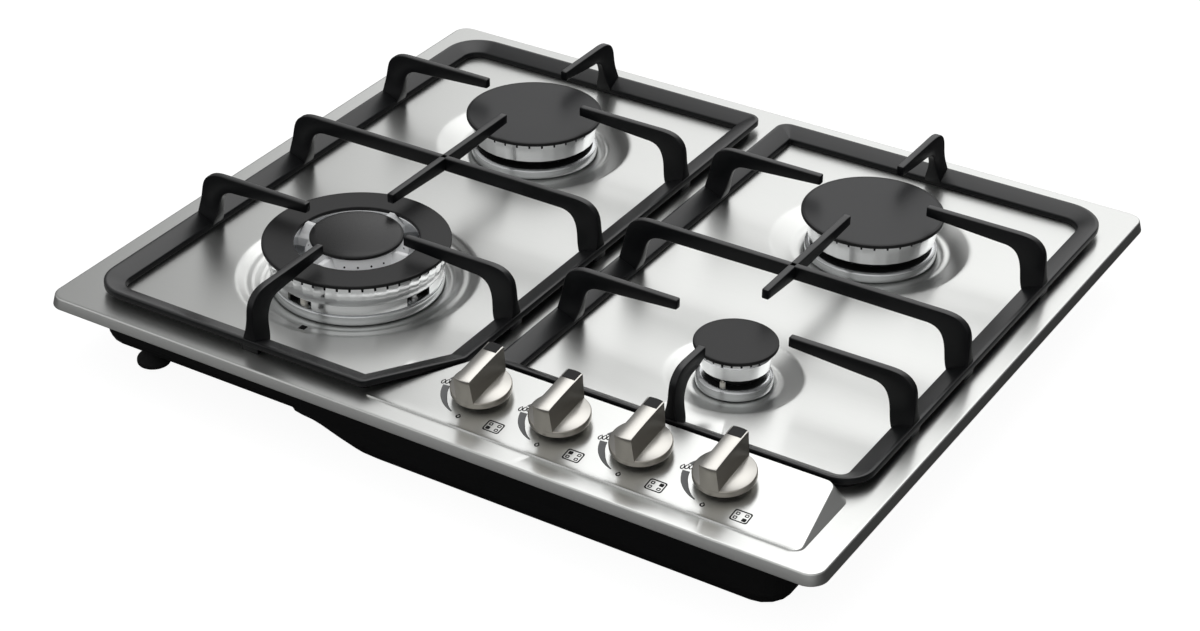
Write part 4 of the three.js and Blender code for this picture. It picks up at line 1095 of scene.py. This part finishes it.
@dataclass
class PlainBurner(Burner):
    """Burner with one ring of flames: cup flange, notched head and cap."""

    cap_radius: float
    cap_top: float
    crown_top: float
    crown_bottom: float
    crown_low: float
    neck: float
    ports: int
    flange: tuple[float, float, float]
    cup_radius: float
    cap_finish: Finish
    step: tuple[float, float] | None = None
    cap_sheet: float = 2.6
    port_depth: float = 3.2
    port_width: float = 1.5
    wall: float = 4
    gap: float = 0.3
    segments: int = 128

    def cup(self) -> Patch:
        """Cup with its round flange, closed on its axis at both ends.

        Returns:
            The closed grid.
        """
        top, foot, height = self.flange
        inner = self.cup_radius - 2.5
        corners = [
            (0, -24), (inner, -24), (inner, height), (top, height), (foot, height - 1.6), (foot, -4.7),
            (self.cup_radius, -4.7), (self.cup_radius, -27), (0, -27),
        ]
        return turned(fillet(np.array(corners), (1, 0.4, 0.9, 0.8, 0.3, 1, 1.5)), self.centre, self.segments)

    def head(self) -> list[Patch]:
        """Crown with flame slots in its rim, the gas chamber and the mixing tube.

        The profile runs round the crown's section. In a flame slot its two top rows fall by the
        slot's depth.

        Returns:
            The crown, its inside and the black face under it, painted shade in the gap over the neck.
        """
        top = self.cap_top - self.cap_sheet - self.gap
        seat = self.flange[2] + self.gap
        throat, ledge = self.step if self.step else (self.crown_top, top)
        inner = throat - self.wall
        low = top - self.port_depth
        lip = [(self.crown_top, ledge), (throat, ledge)] if self.step else [(self.crown_top, low)]
        rows = [
            (inner, 15), (inner, low), (inner, top), (throat, top), (throat, low), *lip[::-1],
            (self.crown_bottom + 0.25, self.crown_low + 0.5), (self.crown_bottom - 0.3, self.crown_low),
            (self.neck, self.crown_low + 0.6), (self.neck, seat),
        ]
        heights = [min(z, low) if i in (2, 3) else z for i, (_, z) in enumerate(rows)]
        middles = (np.arange(self.ports) + 0.5) * 2 * np.pi / self.ports
        angles, inside = slot_angles(middles, self.port_width / 2 / throat)
        crown = ringed(np.array(rows), self.centre, angles, heights, inside)
        # Painted shade: a black sheet from the crown's foot down to the neck, where the gap under the crown
        # lies in shade.
        skirt = (self.crown_bottom - 0.6, self.crown_low - 0.02)
        shade = turned(np.array([skirt, (self.neck, seat)]), self.centre, finish=1)
        chamber = [(inner, 15), (8, 15), (8, -8), (10, -8), (10, seat), (self.neck, seat)]
        floor = turned(np.array(chamber), self.centre)
        return [crown, floor, shade]

    def cap(self) -> list[Patch]:
        """Flat cap with a rounded rim and a ring below that centres it.

        Returns:
            The top face and the rim.
        """
        low, top, radius = self.cap_top - self.cap_sheet, self.cap_top, self.cap_radius
        ring = (self.step[0] if self.step else self.crown_top) - self.wall - 1
        face = np.array([(0, top), (radius - 2.4, top)])
        side = [(radius - 2.4, top), (radius, top), (radius, low)]
        side += [(ring, low), (ring - 0.8, low - 2), (0, low - 2)]
        rim = fillet(np.array(side), (1.0, 0.8, 0.2, 0.5), 5)
        around = (self.centre, self.segments)
        return [turned(face, *around), turned(rim, *around, finish=1)]

    def build(self) -> None:
        """Makes the burner's cup, head and cap."""
        axis = tuple(self.centre * MM)
        cup = [CUP_ALUMINIUM.material(axis)]
        # The second finish paints shade under the crown.
        head = [HEAD_ALUMINIUM.material(axis), PAINTED_SHADE.material()]
        # The rim takes the darker enamel: painted shade.
        enamel = [self.cap_finish.material(), CAP_EDGE_SHADE.material()]
        self.piece("cup", [self.cup()], cup, "base", "cup_aluminium", "burner_cup")
        self.piece("crown", self.head(), head, f"head_{self.name}", "head_aluminium", "burner_head")
        self.piece("lid", self.cap(), enamel, f"cap_{self.name}", "cap_enamel", "burner_cap")


@dataclass
class WokBurner(Burner):
    """Front left burner: an outer ring of flames and an inner head, each with its own cap."""

    name: str = "front_left"
    ports: int = 46
    igniters: tuple[float, float] = (-96, -10)
    window_half: float = 10.3
    window_top: float = 8.4
    ring_inner: float = 43.4
    ring_outer: float = 65.7
    ring_top: float = 28
    port_depth: float = 3.2
    port_half: float = 0.8
    port_radius: float = 61
    hole_turns: tuple[float, ...] = (21, 37, 53, 69)
    hole_radius: float = 0.75
    hole_reach: float = 33.3
    hole_height: float = 23.6
    cone: tuple[float, float] = (5.4, -8.0)
    cone_normal: tuple[float, float] = (0.83, 0.56)
    dome: tuple[float, float, float] = (30.8, 33.4, 1.9)

    def cup(self) -> Patch:
        """Cup with its flange, closed on its axis at both ends.

        Returns:
            The closed grid.
        """
        corners = [
            (0, -24), (42.5, -24), (42.5, 1.7), (58.6, 1.7), (60.5, 0.6), (60.5, -5.7), (45, -5.7),
            (45, -27), (0, -27),
        ]
        return turned(fillet(np.array(corners), (1, 0.4, 0.9, 0.6, 0.3, 1, 1.5)), self.centre, 128)

    def crown(self) -> Patch:
        """Outer ring: flame slots in its rim and a window over each igniter and flame probe.

        The profile runs round the ring's section. In a flame slot the top rows fall by the
        slot's depth; in a window the bottom rows rise to the window's top.

        Returns:
            The closed grid.
        """
        top = self.ring_top - 2.9
        low = top - self.port_depth
        rows = np.array(
            [
                (44, 5), (50, 5), (50, 5), (58, 5), (58, 2), (60, 2), (60, 9.2), (60.5, 9.6), (61.1, 9.6),
                (61.5, 10.1), (62.9, low), (63, top), (59.5, top), (59.5, low), (59.5, 15), (47.5, 15),
                (47.5, top - 0.6), (47, top), (44.5, top), (44, top - 0.6), (44, 5),
            ]
        )
        top_rows, bottom_rows = slice(11, 13), slice(2, 6)
        flames = (np.arange(self.ports) + 0.5) * 2 * np.pi / self.ports
        igniters, half = np.radians(self.igniters), np.radians(self.window_half)
        a, in_slot = slot_angles(flames, self.port_half / self.port_radius)
        b, _ = slot_angles(igniters, half)
        angles = np.mod(np.concatenate([a, b]), 2 * np.pi)
        order = np.argsort(angles)
        angles = angles[order]
        slotted = np.concatenate([in_slot, np.zeros(len(b), bool)])[order]
        away = np.abs((angles[:, None] - igniters + np.pi) % (2 * np.pi) - np.pi)
        windowed = away.min(1) < half
        patch = ringed(rows, self.centre, angles)
        level = patch.points[..., 2]
        level[top_rows, slotted] = low
        level[bottom_rows, windowed] = self.window_top
        return patch

    def inner_head(self) -> list[Patch]:
        """Inner head with a conical shoulder, and the plate that joins it to the ring.

        Returns:
            The head, the edge of the plate in black painted shade and the holes, dark patches of painted
            shade, in the shoulder.
        """
        corners = [
            (0, 2), (47, 2), (47, 6), (36, 6), (36, 19.6), (30.6, 27.6), (30.4, 28.4), (27.5, 28.4),
            (27.5, 15), (0, 15),
        ]
        profile = fillet(np.array(corners), (0.4, 0.4, 0.6, 0.8, 0.4, 0.3, 0.4, 0.6))
        body = turned(profile, self.centre, finish=2)
        # Painted shade: the edge of the plate, under the ring, is black.
        edge = [(47, 2.1), (50.5, 2.1), (50.5, 5.9), (47, 5.9), (47, 2.1)]
        plate = turned(np.array(edge), self.centre, finish=1)
        turns = np.radians(np.array([[0], [90], [180], [270]]) + self.hole_turns).ravel()
        holes = [self.hole(turn) for turn in turns]
        return [body, plate, *holes]

    def hole(self, turn: float) -> Patch:
        """Small black patch of painted shade that stands for a hole in the conical shoulder.

        Its two rings lie in planes along the shoulder, just under and just over it.

        Args:
            turn: direction of the hole from the axis, in radians.

        Returns:
            The closed grid.
        """
        around = np.linspace(0, 2 * np.pi, 9)[:-1]
        out, side = np.array([np.cos(turn), np.sin(turn)]), np.array([-np.sin(turn), np.cos(turn)])
        fall = np.array(self.cone) / np.hypot(*self.cone)
        s, t = self.hole_radius * np.cos(around), self.hole_radius * np.sin(around)
        rings = []
        for lift in (-0.3, 0.05):
            reach = self.hole_reach + fall[0] * s + lift * self.cone_normal[0]
            plan = self.centre + reach[:, None] * out + t[:, None] * side
            rings.append(raised(plan, self.hole_height + fall[1] * s + lift * self.cone_normal[1]))
        return Patch(closed_on_middle(np.stack(rings)), finish=1)

    def bridges(self) -> list[Patch]:
        """Four bridges between the inner head and the ring, each a block with a ridge along it.

        The ridge drops to a lower section just before the ring cap, which lies over its end.

        Returns:
            A closed grid for each bridge.
        """
        half = 10.5
        low = [(-half, 14), (half, 14), (half, 19.5), (7, 21.5), (1.6, 25.2)]
        high = [(-half, 14), (half, 14), (half, 20.5), (7, 22.5), (1.8, 27.6)]
        low, high = (side + [(-x, z) for x, z in side[:1:-1]] for side in (low, high))
        round_off = (0.6, 0.6, 0.8, 0.8, 0.8, 0.8, 0.8, 0.8)
        seat, ridge = (rounded_outline(np.array(section), round_off, 0, 3) for section in (low, high))
        ends = ((31.5, ridge * [0.86, 1]), (42.8, ridge), (43.0, seat), (44.6, seat))
        patches = []
        for turn in np.radians([0, 90, 180, 270]):
            out, side = np.array([np.cos(turn), np.sin(turn)]), np.array([-np.sin(turn), np.cos(turn)])
            rings = [
                raised(self.centre + reach * out + edge[:, :1] * side, edge[:, 1]) for reach, edge in ends
            ]
            patches.append(Patch(closed_on_middle(np.stack(rings)), finish=2))
        return patches

    def ring_cap(self) -> list[Patch]:
        """Flat ring cap with rounded edges.

        Returns:
            The top face and the two edges.
        """
        low, top = self.ring_top - 2.6, self.ring_top
        inner, outer = self.ring_inner, self.ring_outer
        face = np.array([(inner + 1.6, top), (outer - 2.2, top)])
        rim = [(outer - 2.2, top), (outer, top), (outer, low), (inner, low), (inner, top), (inner + 1.6, top)]
        return [
            turned(face, self.centre, 144),
            turned(fillet(np.array(rim), (1, 0.8, 0.8, 0.9), 5), self.centre, 144, finish=1),
        ]

    def inner_cap(self) -> list[Patch]:
        """Crowned cap of the inner head: its height falls as the square of the radius.

        Returns:
            The dome and the rim.
        """
        edge, top, drop = self.dome
        radius = np.linspace(0, edge, 12)
        dome = np.stack([radius, top - drop * (radius / edge) ** 2], -1)
        rim = [(30.8, 31.5), (32.6, 31.1), (32.6, 28.8), (26.5, 28.7), (25.7, 26.7), (0, 26.7)]
        side = fillet(np.array(rim), (0.9, 0.7, 0.3, 0.3), 4)
        return [turned(dome, self.centre), turned(side, self.centre, finish=1)]

    def build(self) -> None:
        """Makes the cup, the head and both caps."""
        axis = tuple(self.centre * MM)
        cup = [CUP_ALUMINIUM.material(axis)]
        # The second finish paints shade on the plate's edge and on the holes.
        metals = [HEAD_ALUMINIUM.material(axis), PAINTED_SHADE.material(), CAST_ALUMINIUM.material()]
        # The rims take the darker enamel: painted shade.
        ring, inner = ([cap.material(), CAP_EDGE_SHADE.material()] for cap in (CAP_DARK, CAP_BLACK))
        head = [self.crown(), *self.inner_head(), *self.bridges()]
        self.piece("cup", [self.cup()], cup, "base", "cup_aluminium", "burner_cup")
        self.piece("crown", head, metals, f"head_{self.name}", "head_aluminium", "burner_head")
        self.piece("ring_lid", self.ring_cap(), ring, f"ring_cap_{self.name}", "cap_enamel", "ring_cap")
        self.piece("inner_lid", self.inner_cap(), inner, f"inner_cap_{self.name}", "cap_enamel", "inner_cap")


# ---------------------------------------------------------------- knobs and marks


class Flame(Enum):
    """Which of the four burners a knob's picture fills in, as a place in the picture."""

    FRONT_LEFT = 0
    REAR_LEFT = 1
    REAR_RIGHT = 2
    FRONT_RIGHT = 3


@dataclass
class Knob:
    """Turning knob with a blade, and the marks round it on the panel."""

    name: str
    flame: Flame
    radius: float = 20.2
    underside: float = 2.8
    disc_top: float = 9.2
    top: float = 27
    mark_low: float = -0.3
    mark_high: float = 0.1
    line: float = 0.9
    hollow: float = 0.05

    @property
    def axis(self) -> tuple[Array, float]:
        """Place and direction of the knob's joint.

        Returns:
            Where the axis meets the panel, and the panel's tilt in radians.
        """
        joints = {joint["name"]: joint for joint in RECORD["behaviour"]["joints"]}
        joint = joints[f"knob_{self.name}_turn"]
        origin = np.array(joint["pos_m"]) / MM - [0, 0, DECK]
        return origin, float(np.arctan2(-joint["axis"][1], joint["axis"][2]))

    def placed(self, patch: Patch) -> Patch:
        """Patch moved from the knob's own frame to the plate's: turned about x, then shifted.

        Args:
            patch: the patch in the knob's frame.

        Returns:
            The same patch.
        """
        origin, tilt = self.axis
        x, y, z = np.moveaxis(patch.points, -1, 0)
        turned_y, turned_z = y * np.cos(tilt) - z * np.sin(tilt), y * np.sin(tilt) + z * np.cos(tilt)
        patch.points = np.stack([x, turned_y, turned_z], -1) + origin
        return patch

    def disc(self) -> list[Patch]:
        """Round base: a bevelled foot, an upright side and a flat top with a rounded edge.

        Returns:
            The side and the top.
        """
        low, high, radius = self.underside, self.disc_top, self.radius
        side = [(0, low), (radius - 2.6, low), (radius, low + 1.8)]
        side += [(radius, high - 0.5), (radius - 0.7, high)]
        side = fillet(np.array(side), (0.6, 1.0, 0.5))
        top = np.array([(radius - 0.7, high), (0, high)])
        return [turned(side, np.zeros(2), 96, finish=1), turned(top, np.zeros(2), 96)]

    def blade(self) -> list[Patch]:
        """Blade whose ends follow the rim, with slightly hollow sides.

        Each ring has two sides, whose half width is least in the middle and grows with the
        square of y, and two ends on a circle about the axis. The circle widens upwards.

        Returns:
            The sides, their top edge and the top.
        """
        rows = [(8.8, 6.6, 20.25), (13, 6.4, 20.45), (18, 6.2, 20.7), (24, 6.0, 20.95), (26.5, 5.9, 21.1)]
        rows += [(26.85, 5.8, 21.0), (self.top, 5.55, 20.75)]
        rings = []
        for z, half, reach in rows:
            end = np.sqrt(reach**2 - half**2)
            y = np.linspace(-end, end, 15)
            x = half * (1 - self.hollow * (1 - (y / end) ** 2))
            bow = np.linspace(half, -half, 9)[1:-1]
            right, rear = np.stack([x, y], -1), np.stack([bow, np.sqrt(reach**2 - bow**2)], -1)
            rings.append(raised(np.concatenate([right, rear, -right, -rear]), z))
        side = np.stack(rings)
        flat = side[-1] * [0, 1, 1]
        return [Patch(side[:-2], finish=1), Patch(side[-3:]), Patch(np.stack([side[-1], flat]))]

    def marker(self) -> Patch:
        """Black pointer in the blade's top, whose rear end follows the blade's.

        The front edge is straight, and the rear edge lies on a circle about the knob's axis.

        Returns:
            The closed grid.
        """
        rings = []
        rows = ((25.3, 4.8, 21.22), (self.top + 0.1, 4.8, 21.22), (self.top + 0.25, 4.6, 21.0))
        for z, half, reach in rows:
            bow = np.linspace(half, -half, 13)
            rear = np.stack([bow, np.sqrt(reach**2 - bow**2)], -1)
            front = np.stack([-bow, np.full(13, 12.6)], -1)
            rings.append(raised(np.concatenate([rear, front]), z))
        return Patch(closed_on_middle(np.stack(rings)))

    def crescent(self, keys: Array, margin: float, finish: int) -> Patch:
        """Crescent round the knob between two lines of radii.

        Args:
            keys: rows of angle in degrees, inner radius and outer radius.
            margin: how far the crescent is drawn out beyond those lines.
            finish: number of the finish.

        Returns:
            The closed grid, lower where it is drawn out.
        """
        angle = np.linspace(keys[0][0], keys[-1][0], 30)
        inner, outer = (np.interp(angle, *np.array(keys)[:, [0, i]].T) for i in (1, 2))
        inner, outer = np.minimum(inner, outer - 0.05) - margin, outer + margin
        around = np.stack([np.cos(np.radians(angle)), np.sin(np.radians(angle))], -1)
        low, high = self.mark_low, self.mark_high - (0.04 if margin else 0)
        rows = [(inner, low), (inner, high), (outer, high), (outer, low), (inner, low)]
        points = np.stack([raised(radius[:, None] * around, z) for radius, z in rows])
        ends = [np.broadcast_to(points[:-1, i].mean(0), points[:, i].shape)[:, None] for i in (0, -1)]
        return Patch(np.concatenate([ends[0], points, ends[1]], axis=1), closed=False, finish=finish)

    def arc_marks(self) -> list[Patch]:
        """Two grey crescents that taper away from the large flame, each edged in black.

        Returns:
            A grid for each crescent and for the wider one under it that shows as its edge.
        """
        lower = [(-174, 23.5, 28.0), (-151, 22.8, 26.7), (-144, 22.7, 26.2)]
        lower += [(-130, 23.2, 25.4), (-110, 24.3, 24.5)]
        upper = [(140, 24.2, 24.5), (160, 23.0, 26.2), (172, 23.6, 27.6)]
        layers = ((0, 0), (0.25, 1))
        return [self.crescent(keys, margin, finish) for keys in (lower, upper) for margin, finish in layers]

    def line_mark(self, outline: Array, line: float) -> Patch:
        """Closed line of a given width just inside an outline, or the filled outline without one.

        The inner edge is the outline drawn towards its middle by the line's share of its size.

        Args:
            outline: the outer edge in the knob's frame.
            line: width of the line, or 0 to fill the outline.

        Returns:
            The closed grid.
        """
        middle = (outline.max(0) + outline.min(0)) / 2
        size = outline.max(0) - outline.min(0)
        if line == 0:
            rings = np.stack([raised(outline, self.mark_low), raised(outline, self.mark_high)])
            return Patch(closed_on_middle(rings), finish=1)
        inner = middle + (outline - middle) * (1 - 2 * line / size)
        low, high = self.mark_low, self.mark_high
        rows = [(outline, low), (outline, high), (inner, high), (inner, low), (outline, low)]
        return Patch(np.stack([raised(edge, z) for edge, z in rows]), finish=1)

    def drop(self, x: float, y: float, width: float, height: float) -> Array:
        """Outline of a flame: its half width falls towards the tip with the height.

        Args:
            x: middle of the flame, in the knob's frame.
            y: the same.
            width: width of its round foot.
            height: height up to its tip.

        Returns:
            Its points.
        """
        around = np.linspace(0, 2 * np.pi, 25)[:-1]
        lift = np.sin(around)
        half = width / 2 * np.cos(around) * (1 - 0.6 * np.maximum(lift, 0))
        return np.stack([x + half, y + height / 2 * lift], -1)

    def flame_marks(self) -> list[Patch]:
        """Large flame of three tongues beside the knob and a small flame in front of it.

        Returns:
            A closed grid for each tongue.
        """
        tongues = ((-29.6, -0.2, 2.9), (-27.1, 0.9, 3.1), (-24.6, 1.9, 2.9))
        flames = [self.line_mark(self.drop(x, y, width, 5.0), 0.75) for x, y, width in tongues]
        return flames + [self.line_mark(self.drop(-1.9, -24.8, 3.5, 4.2), 0.95)]

    def frame_mark(self) -> list[Patch]:
        """Picture of the four burners with this knob's one filled in.

        Returns:
            A closed grid for the frame and for each burner.
        """
        box = np.array([(17.8, -28.4), (30.0, -28.4), (30.0, -18.3), (17.8, -18.3)])
        marks = [self.line_mark(rounded_outline(box, (1.6,) * 4, 0, 5), self.line)]
        spots = ((20.9, -25.4), (21.0, -21.5), (27.0, -21.3), (27.0, -25.4))
        for number, spot in enumerate(spots):
            filled = number == self.flame.value
            half = 1.45 if filled else 1.3
            square = np.array([(-half, -half), (half, -half), (half, half), (-half, half)]) + spot
            marks.append(self.line_mark(rounded_outline(square, (0.5,) * 4, 0, 3), 0 if filled else 0.65))
        return marks

    def build(self) -> None:
        """Makes the knob, its pointer and the marks on the panel."""
        # The sides take the darker copy of the nickel: painted shade.
        bright, side = KNOB_NICKEL.material(), KNOB_SIDE_SHADE.material()
        parts = [self.placed(patch) for patch in (*self.disc(), *self.blade())]
        body = f"knob_{self.name}"
        make_piece(
            f"turning_knob_{self.name}", parts, [bright, side], body, [f"knob_{self.name}"],
            crease=40,
        )
        pointer = self.placed(self.marker())
        make_piece(
            f"pointer_{self.name}", [pointer], [MARKER_BLACK.material()], body,
            [f"knob_marker_{self.name}"],
        )
        marks = self.arc_marks() + self.flame_marks() + self.frame_mark()
        make_piece(
            f"dial_marks_{self.name}", [self.placed(mark) for mark in marks],
            [MARK_GREY.material(), MARK_DARK.material()], "base",
        )


# ---------------------------------------------------------------- underside and fittings


@dataclass
class Underside:
    """Black pan, its feet, and the fittings inside it."""

    foot_x: float = -233.5
    foot_ys: tuple[float, float] = (-221.5, 221.5)
    pan_bottom: float = -50.5
    pan_floor: float = -34.8

    def feet(self) -> None:
        """Makes the two turned feet."""
        low = self.pan_bottom
        corners = [(0, low), (11.8, low), (11.8, low + 4), (7, low + 8.5), (5, low + 10)]
        corners += [(5, self.pan_floor), (0, self.pan_floor)]
        for name, y in zip(("pan_foot_front", "pan_foot_rear"), self.foot_ys):
            patch = turned(fillet(np.array(corners), (1.5, 1.5, 1.5, 1, 0.3)), np.array([self.foot_x, y]), 48)
            make_piece(f"{name}_rubber", [patch], [FOOT_RUBBER.material()], "base", [name])

    def dress(self) -> None:
        """Gives each carried CAD node its finish."""
        finishes = {
            "bottom_pan": PAN_BLACK,
            "gas_rail": RAIL_STEEL,
            "gas_inlet": BRASS,
            "mains_gland": PLASTIC_BLACK,
            "ignition_module": PLASTIC_BLACK,
        }
        for name in BURNERS:
            finishes |= {
                f"igniter_{name}": CERAMIC,
                f"flame_probe_{name}": ROD_STEEL,
                f"jet_{name}": BRASS,
                f"gas_tube_{name}": TUBE_ALUMINIUM,
                f"tap_body_{name}": BRASS,
                f"tap_plug_{name}": BRASS,
                f"tap_spindle_{name}": ROD_STEEL,
            }
        for name, finish in finishes.items():
            mesh = frame["nodes"][name].data
            mesh.materials.clear()
            mesh.materials.append(finish.material())
            LOG.info("%s: %s", name, finish.name)

    def build(self) -> None:
        """Makes the feet and dresses the rest."""
        self.feet()
        self.dress()


# ---------------------------------------------------------------- studio


@dataclass
class Studio:
    """Pale floor, soft light and the camera."""

    camera_place: tuple[float, float, float] = (0.8169, -1.3841, 0.987)
    azimuth: float = -32.80
    elevation: float = 31.56
    lens: float = 79.485
    sensor: float = 36
    clip: tuple[float, float] = (0.05, 30)
    shift: float = 80 / 1200
    aim: tuple[float, float, float] = (0, 0, 0.05)
    floor_height: float = -0.0002
    floor_way: tuple[float, float, float] = (0.6, 0.8, 0.0)
    painted_reflection_levels: tuple[tuple[float, float], ...] = ((0.0, 0.2), (0.35, 0.15), (0.6, 0.07), (1.0, 0.05))
    floor_glow: float = 0.93
    room: float = 0.55
    screen: float = 1.15
    dim: float = 0.06
    sideways: tuple[tuple[float, float], ...] = (
        (-180, 0.75), (-135, 0.75), (-105, 0.4), (-60, 0.1), (-24, 0.1), (-6, 1.17), (25, 1.17), (34, 1.12),
        (38, 0.8), (44, 0.3), (50, 0.15), (70, 0.3), (110, 0.5), (140, 0.75), (180, 0.75),
    )
    upwards: tuple[tuple[float, float], ...] = (
        (-90, 1), (3, 1), (9, 0.3), (13, 0.5), (18, 0.95), (24, 1), (37, 1), (45, 0.55), (60, 0.9), (75, 0.7),
        (90, 0.5),
    )

    def camera(self) -> None:
        """Sets the camera at the photograph's place and angle."""
        data = bpy.data.cameras.new("camera")
        data.lens, data.sensor_width, data.shift_x = self.lens, self.sensor, self.shift
        data.clip_start, data.clip_end = self.clip
        camera = linked("camera", data)
        turn, fall = np.radians(self.azimuth), np.radians(self.elevation)
        forward = Vector((np.sin(turn) * np.cos(fall), np.cos(turn) * np.cos(fall), -np.sin(fall)))
        camera.location = self.camera_place
        camera.rotation_mode = "QUATERNION"
        camera.rotation_quaternion = forward.to_track_quat("-Z", "Y")
        bpy.context.scene.camera = camera

    def lamp(self, name: str, place: Sequence[float], size: float, power: float) -> None:
        """Adds a soft square lamp that faces the cooktop.

        Args:
            name: name of the lamp.
            place: where it stands.
            size: length of its sides.
            power: its power in watts.
        """
        data = bpy.data.lights.new(name, "AREA")
        data.size, data.energy = size, power
        lamp = linked(name, data)
        lamp.location = place
        lamp.rotation_euler = (Vector(self.aim) - Vector(place)).to_track_quat("-Z", "Y").to_euler()

    def floor(self) -> None:
        """Adds the pale floor: a wide disc that the camera sees as white.

        Glossy rays see it darker, with a level that falls from the front left to the rear right: a painted
        reflection, darker than the floor that the camera sees.
        """
        rings = np.array([0.0, 0.5, 1.5, 4.0, 9.0])
        angle = np.arange(64) * 2 * np.pi / 64
        plan = rings[:, None, None] * np.stack([np.cos(angle), np.sin(angle)], -1)
        points = raised(plan, self.floor_height)
        patch = Patch(points)
        mesh = bpy.data.meshes.new("floor")
        mesh.from_pydata(points.reshape(-1, 3), [], patch.quads(0))
        floor = linked("floor", mesh)
        made = bpy.data.materials.new("floor_paper")
        nodes = Nodes(made)
        path = nodes.add("LightPath").outputs
        place = nodes.add("TexCoord").outputs["Object"]
        noise = nodes.add("TexNoise", {"Vector": place, "Scale": 30.0}).outputs[0]
        dull, light, grey = ((level, level, level, 1) for level in (0.62, 0.64, 0.2))
        pale = nodes.add("Mix", {0: noise, 6: dull, 7: light}, data_type="RGBA").outputs[2]
        seen = nodes.add("Mix", {0: path["Is Camera Ray"], 6: pale, 7: grey}, data_type="RGBA").outputs[2]
        # Painted reflection: glossy rays see the floor darker, in a ramp that falls from the front left to
        # the rear right.
        way = nodes.add("VectorMath", {0: place, 1: self.floor_way}, operation="DOT_PRODUCT")
        across = nodes.maths("MULTIPLY_ADD", way.outputs["Value"], 0.4, 0.5)
        shade = nodes.ramp(across, self.painted_reflection_levels)
        dark = nodes.add("Mix", {0: path["Is Glossy Ray"], 6: seen, 7: shade}, data_type="RGBA")
        paper = nodes.add("BsdfDiffuse", {"Color": dark.outputs[2]})
        level = nodes.maths("MULTIPLY", path["Is Camera Ray"], self.floor_glow)
        glow = nodes.add("Emission", {"Color": (1, 1, 1, 1), "Strength": level})
        both = nodes.add("AddShader", {0: paper.outputs[0], 1: glow.outputs[0]})
        nodes.add("OutputMaterial", {0: both.outputs[0]})
        mesh.materials.append(made)

    def world(self) -> None:
        """Lights the room: white for the camera, even for soft light, a wide bright screen for gloss.

        The screen's level is one curve over the angle round from the back to the left, times
        another over the angle above the floor, both in turns, on top of a dim room.
        """
        world = bpy.data.worlds.new("studio")
        bpy.context.scene.world = world
        nodes = Nodes(world)
        path = nodes.add("LightPath").outputs
        way = nodes.add("TexCoord").outputs["Generated"]
        x, y, z = nodes.add("SeparateXYZ", {0: way}).outputs
        lift = nodes.maths("DIVIDE", nodes.maths("ARCSINE", z), 2 * np.pi)
        turn = nodes.maths("DIVIDE", nodes.maths("ARCTAN2", nodes.maths("MULTIPLY", x, -1.0), y), 2 * np.pi)
        round_back = self.curve(nodes, turn, self.sideways)
        above = self.curve(nodes, lift, self.upwards)
        both = nodes.maths("MULTIPLY", round_back, above)
        screen = nodes.maths("MULTIPLY_ADD", both, self.screen, self.dim)
        level = nodes.add("Mix", {0: path["Is Glossy Ray"], 2: self.room, 3: screen}).outputs[0]
        level = nodes.add("Mix", {0: path["Is Camera Ray"], 2: level, 3: 1.0}).outputs[0]
        shader = nodes.add("Background", {"Color": (1, 1, 1, 1), "Strength": level})
        nodes.add("OutputWorld", {0: shader.outputs[0]})

    def curve(
        self, nodes: Nodes, turns: bpy.types.NodeSocket, stops: Sequence[tuple[float, float]]
    ) -> bpy.types.NodeSocket:
        """Level over an angle.

        Args:
            nodes: the tree that it is added to.
            turns: the angle in turns, from -0.5 to 0.5.
            stops: angles in degrees with their levels, rising.

        Returns:
            The socket with the level.
        """
        line = [(0.5 + angle / 360, level) for angle, level in stops]
        return nodes.ramp(nodes.maths("ADD", turns, 0.5), line)

    def build(self) -> None:
        """Sets up the whole studio."""
        bpy.context.scene.view_settings.view_transform = "Standard"
        self.camera()
        self.lamp("overhead", (-0.3, 0.9, 2.2), 1.8, 14)
        self.floor()
        self.world()


# ---------------------------------------------------------------- the whole cooktop


def main() -> None:
    """Builds every part of the cooktop and the studio round it."""
    logging.basicConfig(level=logging.INFO, format="%(message)s")
    Plate().build()
    PanSupport(
        "grate_left",
        corners=((-272, -239), (-41.9, -239), (-1.8, -178.5), (-1.8, 228.3), (-272, 228.3)),
        radii=(26, 7, 7, 10, 28),
        burners=("rear_left", "front_left"),
    ).build()
    PanSupport(
        "grate_right",
        corners=((13.6, -170.4), (278.9, -170.4), (278.9, 229.8), (13.6, 229.8)),
        radii=(10, 22, 29, 10),
        burners=("rear_right", "front_right"),
        front_bar=10.5,
        finger_shift=-2.5,
    ).build()
    PlainBurner(
        "rear_left", cap_radius=51, cap_top=26.5, crown_top=47.5, crown_bottom=46, crown_low=8.5, neck=37,
        ports=32, flange=(45, 47.5, 2.5), cup_radius=34, cap_finish=CAP_ENAMEL,
    ).build()
    PlainBurner(
        "rear_right", cap_radius=50.2, cap_top=27, crown_top=46.2, crown_bottom=44.7, crown_low=8.5, neck=36,
        ports=32, flange=(44, 46.5, 2.5), cup_radius=33, cap_finish=CAP_ENAMEL,
    ).build()
    PlainBurner(
        "front_right", cap_radius=28, cap_top=26.1, crown_top=24.8, crown_bottom=23, crown_low=9, neck=16.8,
        ports=24, flange=(23, 25.6, 2.8), cup_radius=15, cap_finish=CAP_DARK, step=(24.2, 19.4),
    ).build()
    WokBurner().build()
    for name in KNOBS:
        Knob(name, Flame[name.upper()]).build()
    Underside().build()
    Studio().build()


if __name__ == "__main__":
    main()
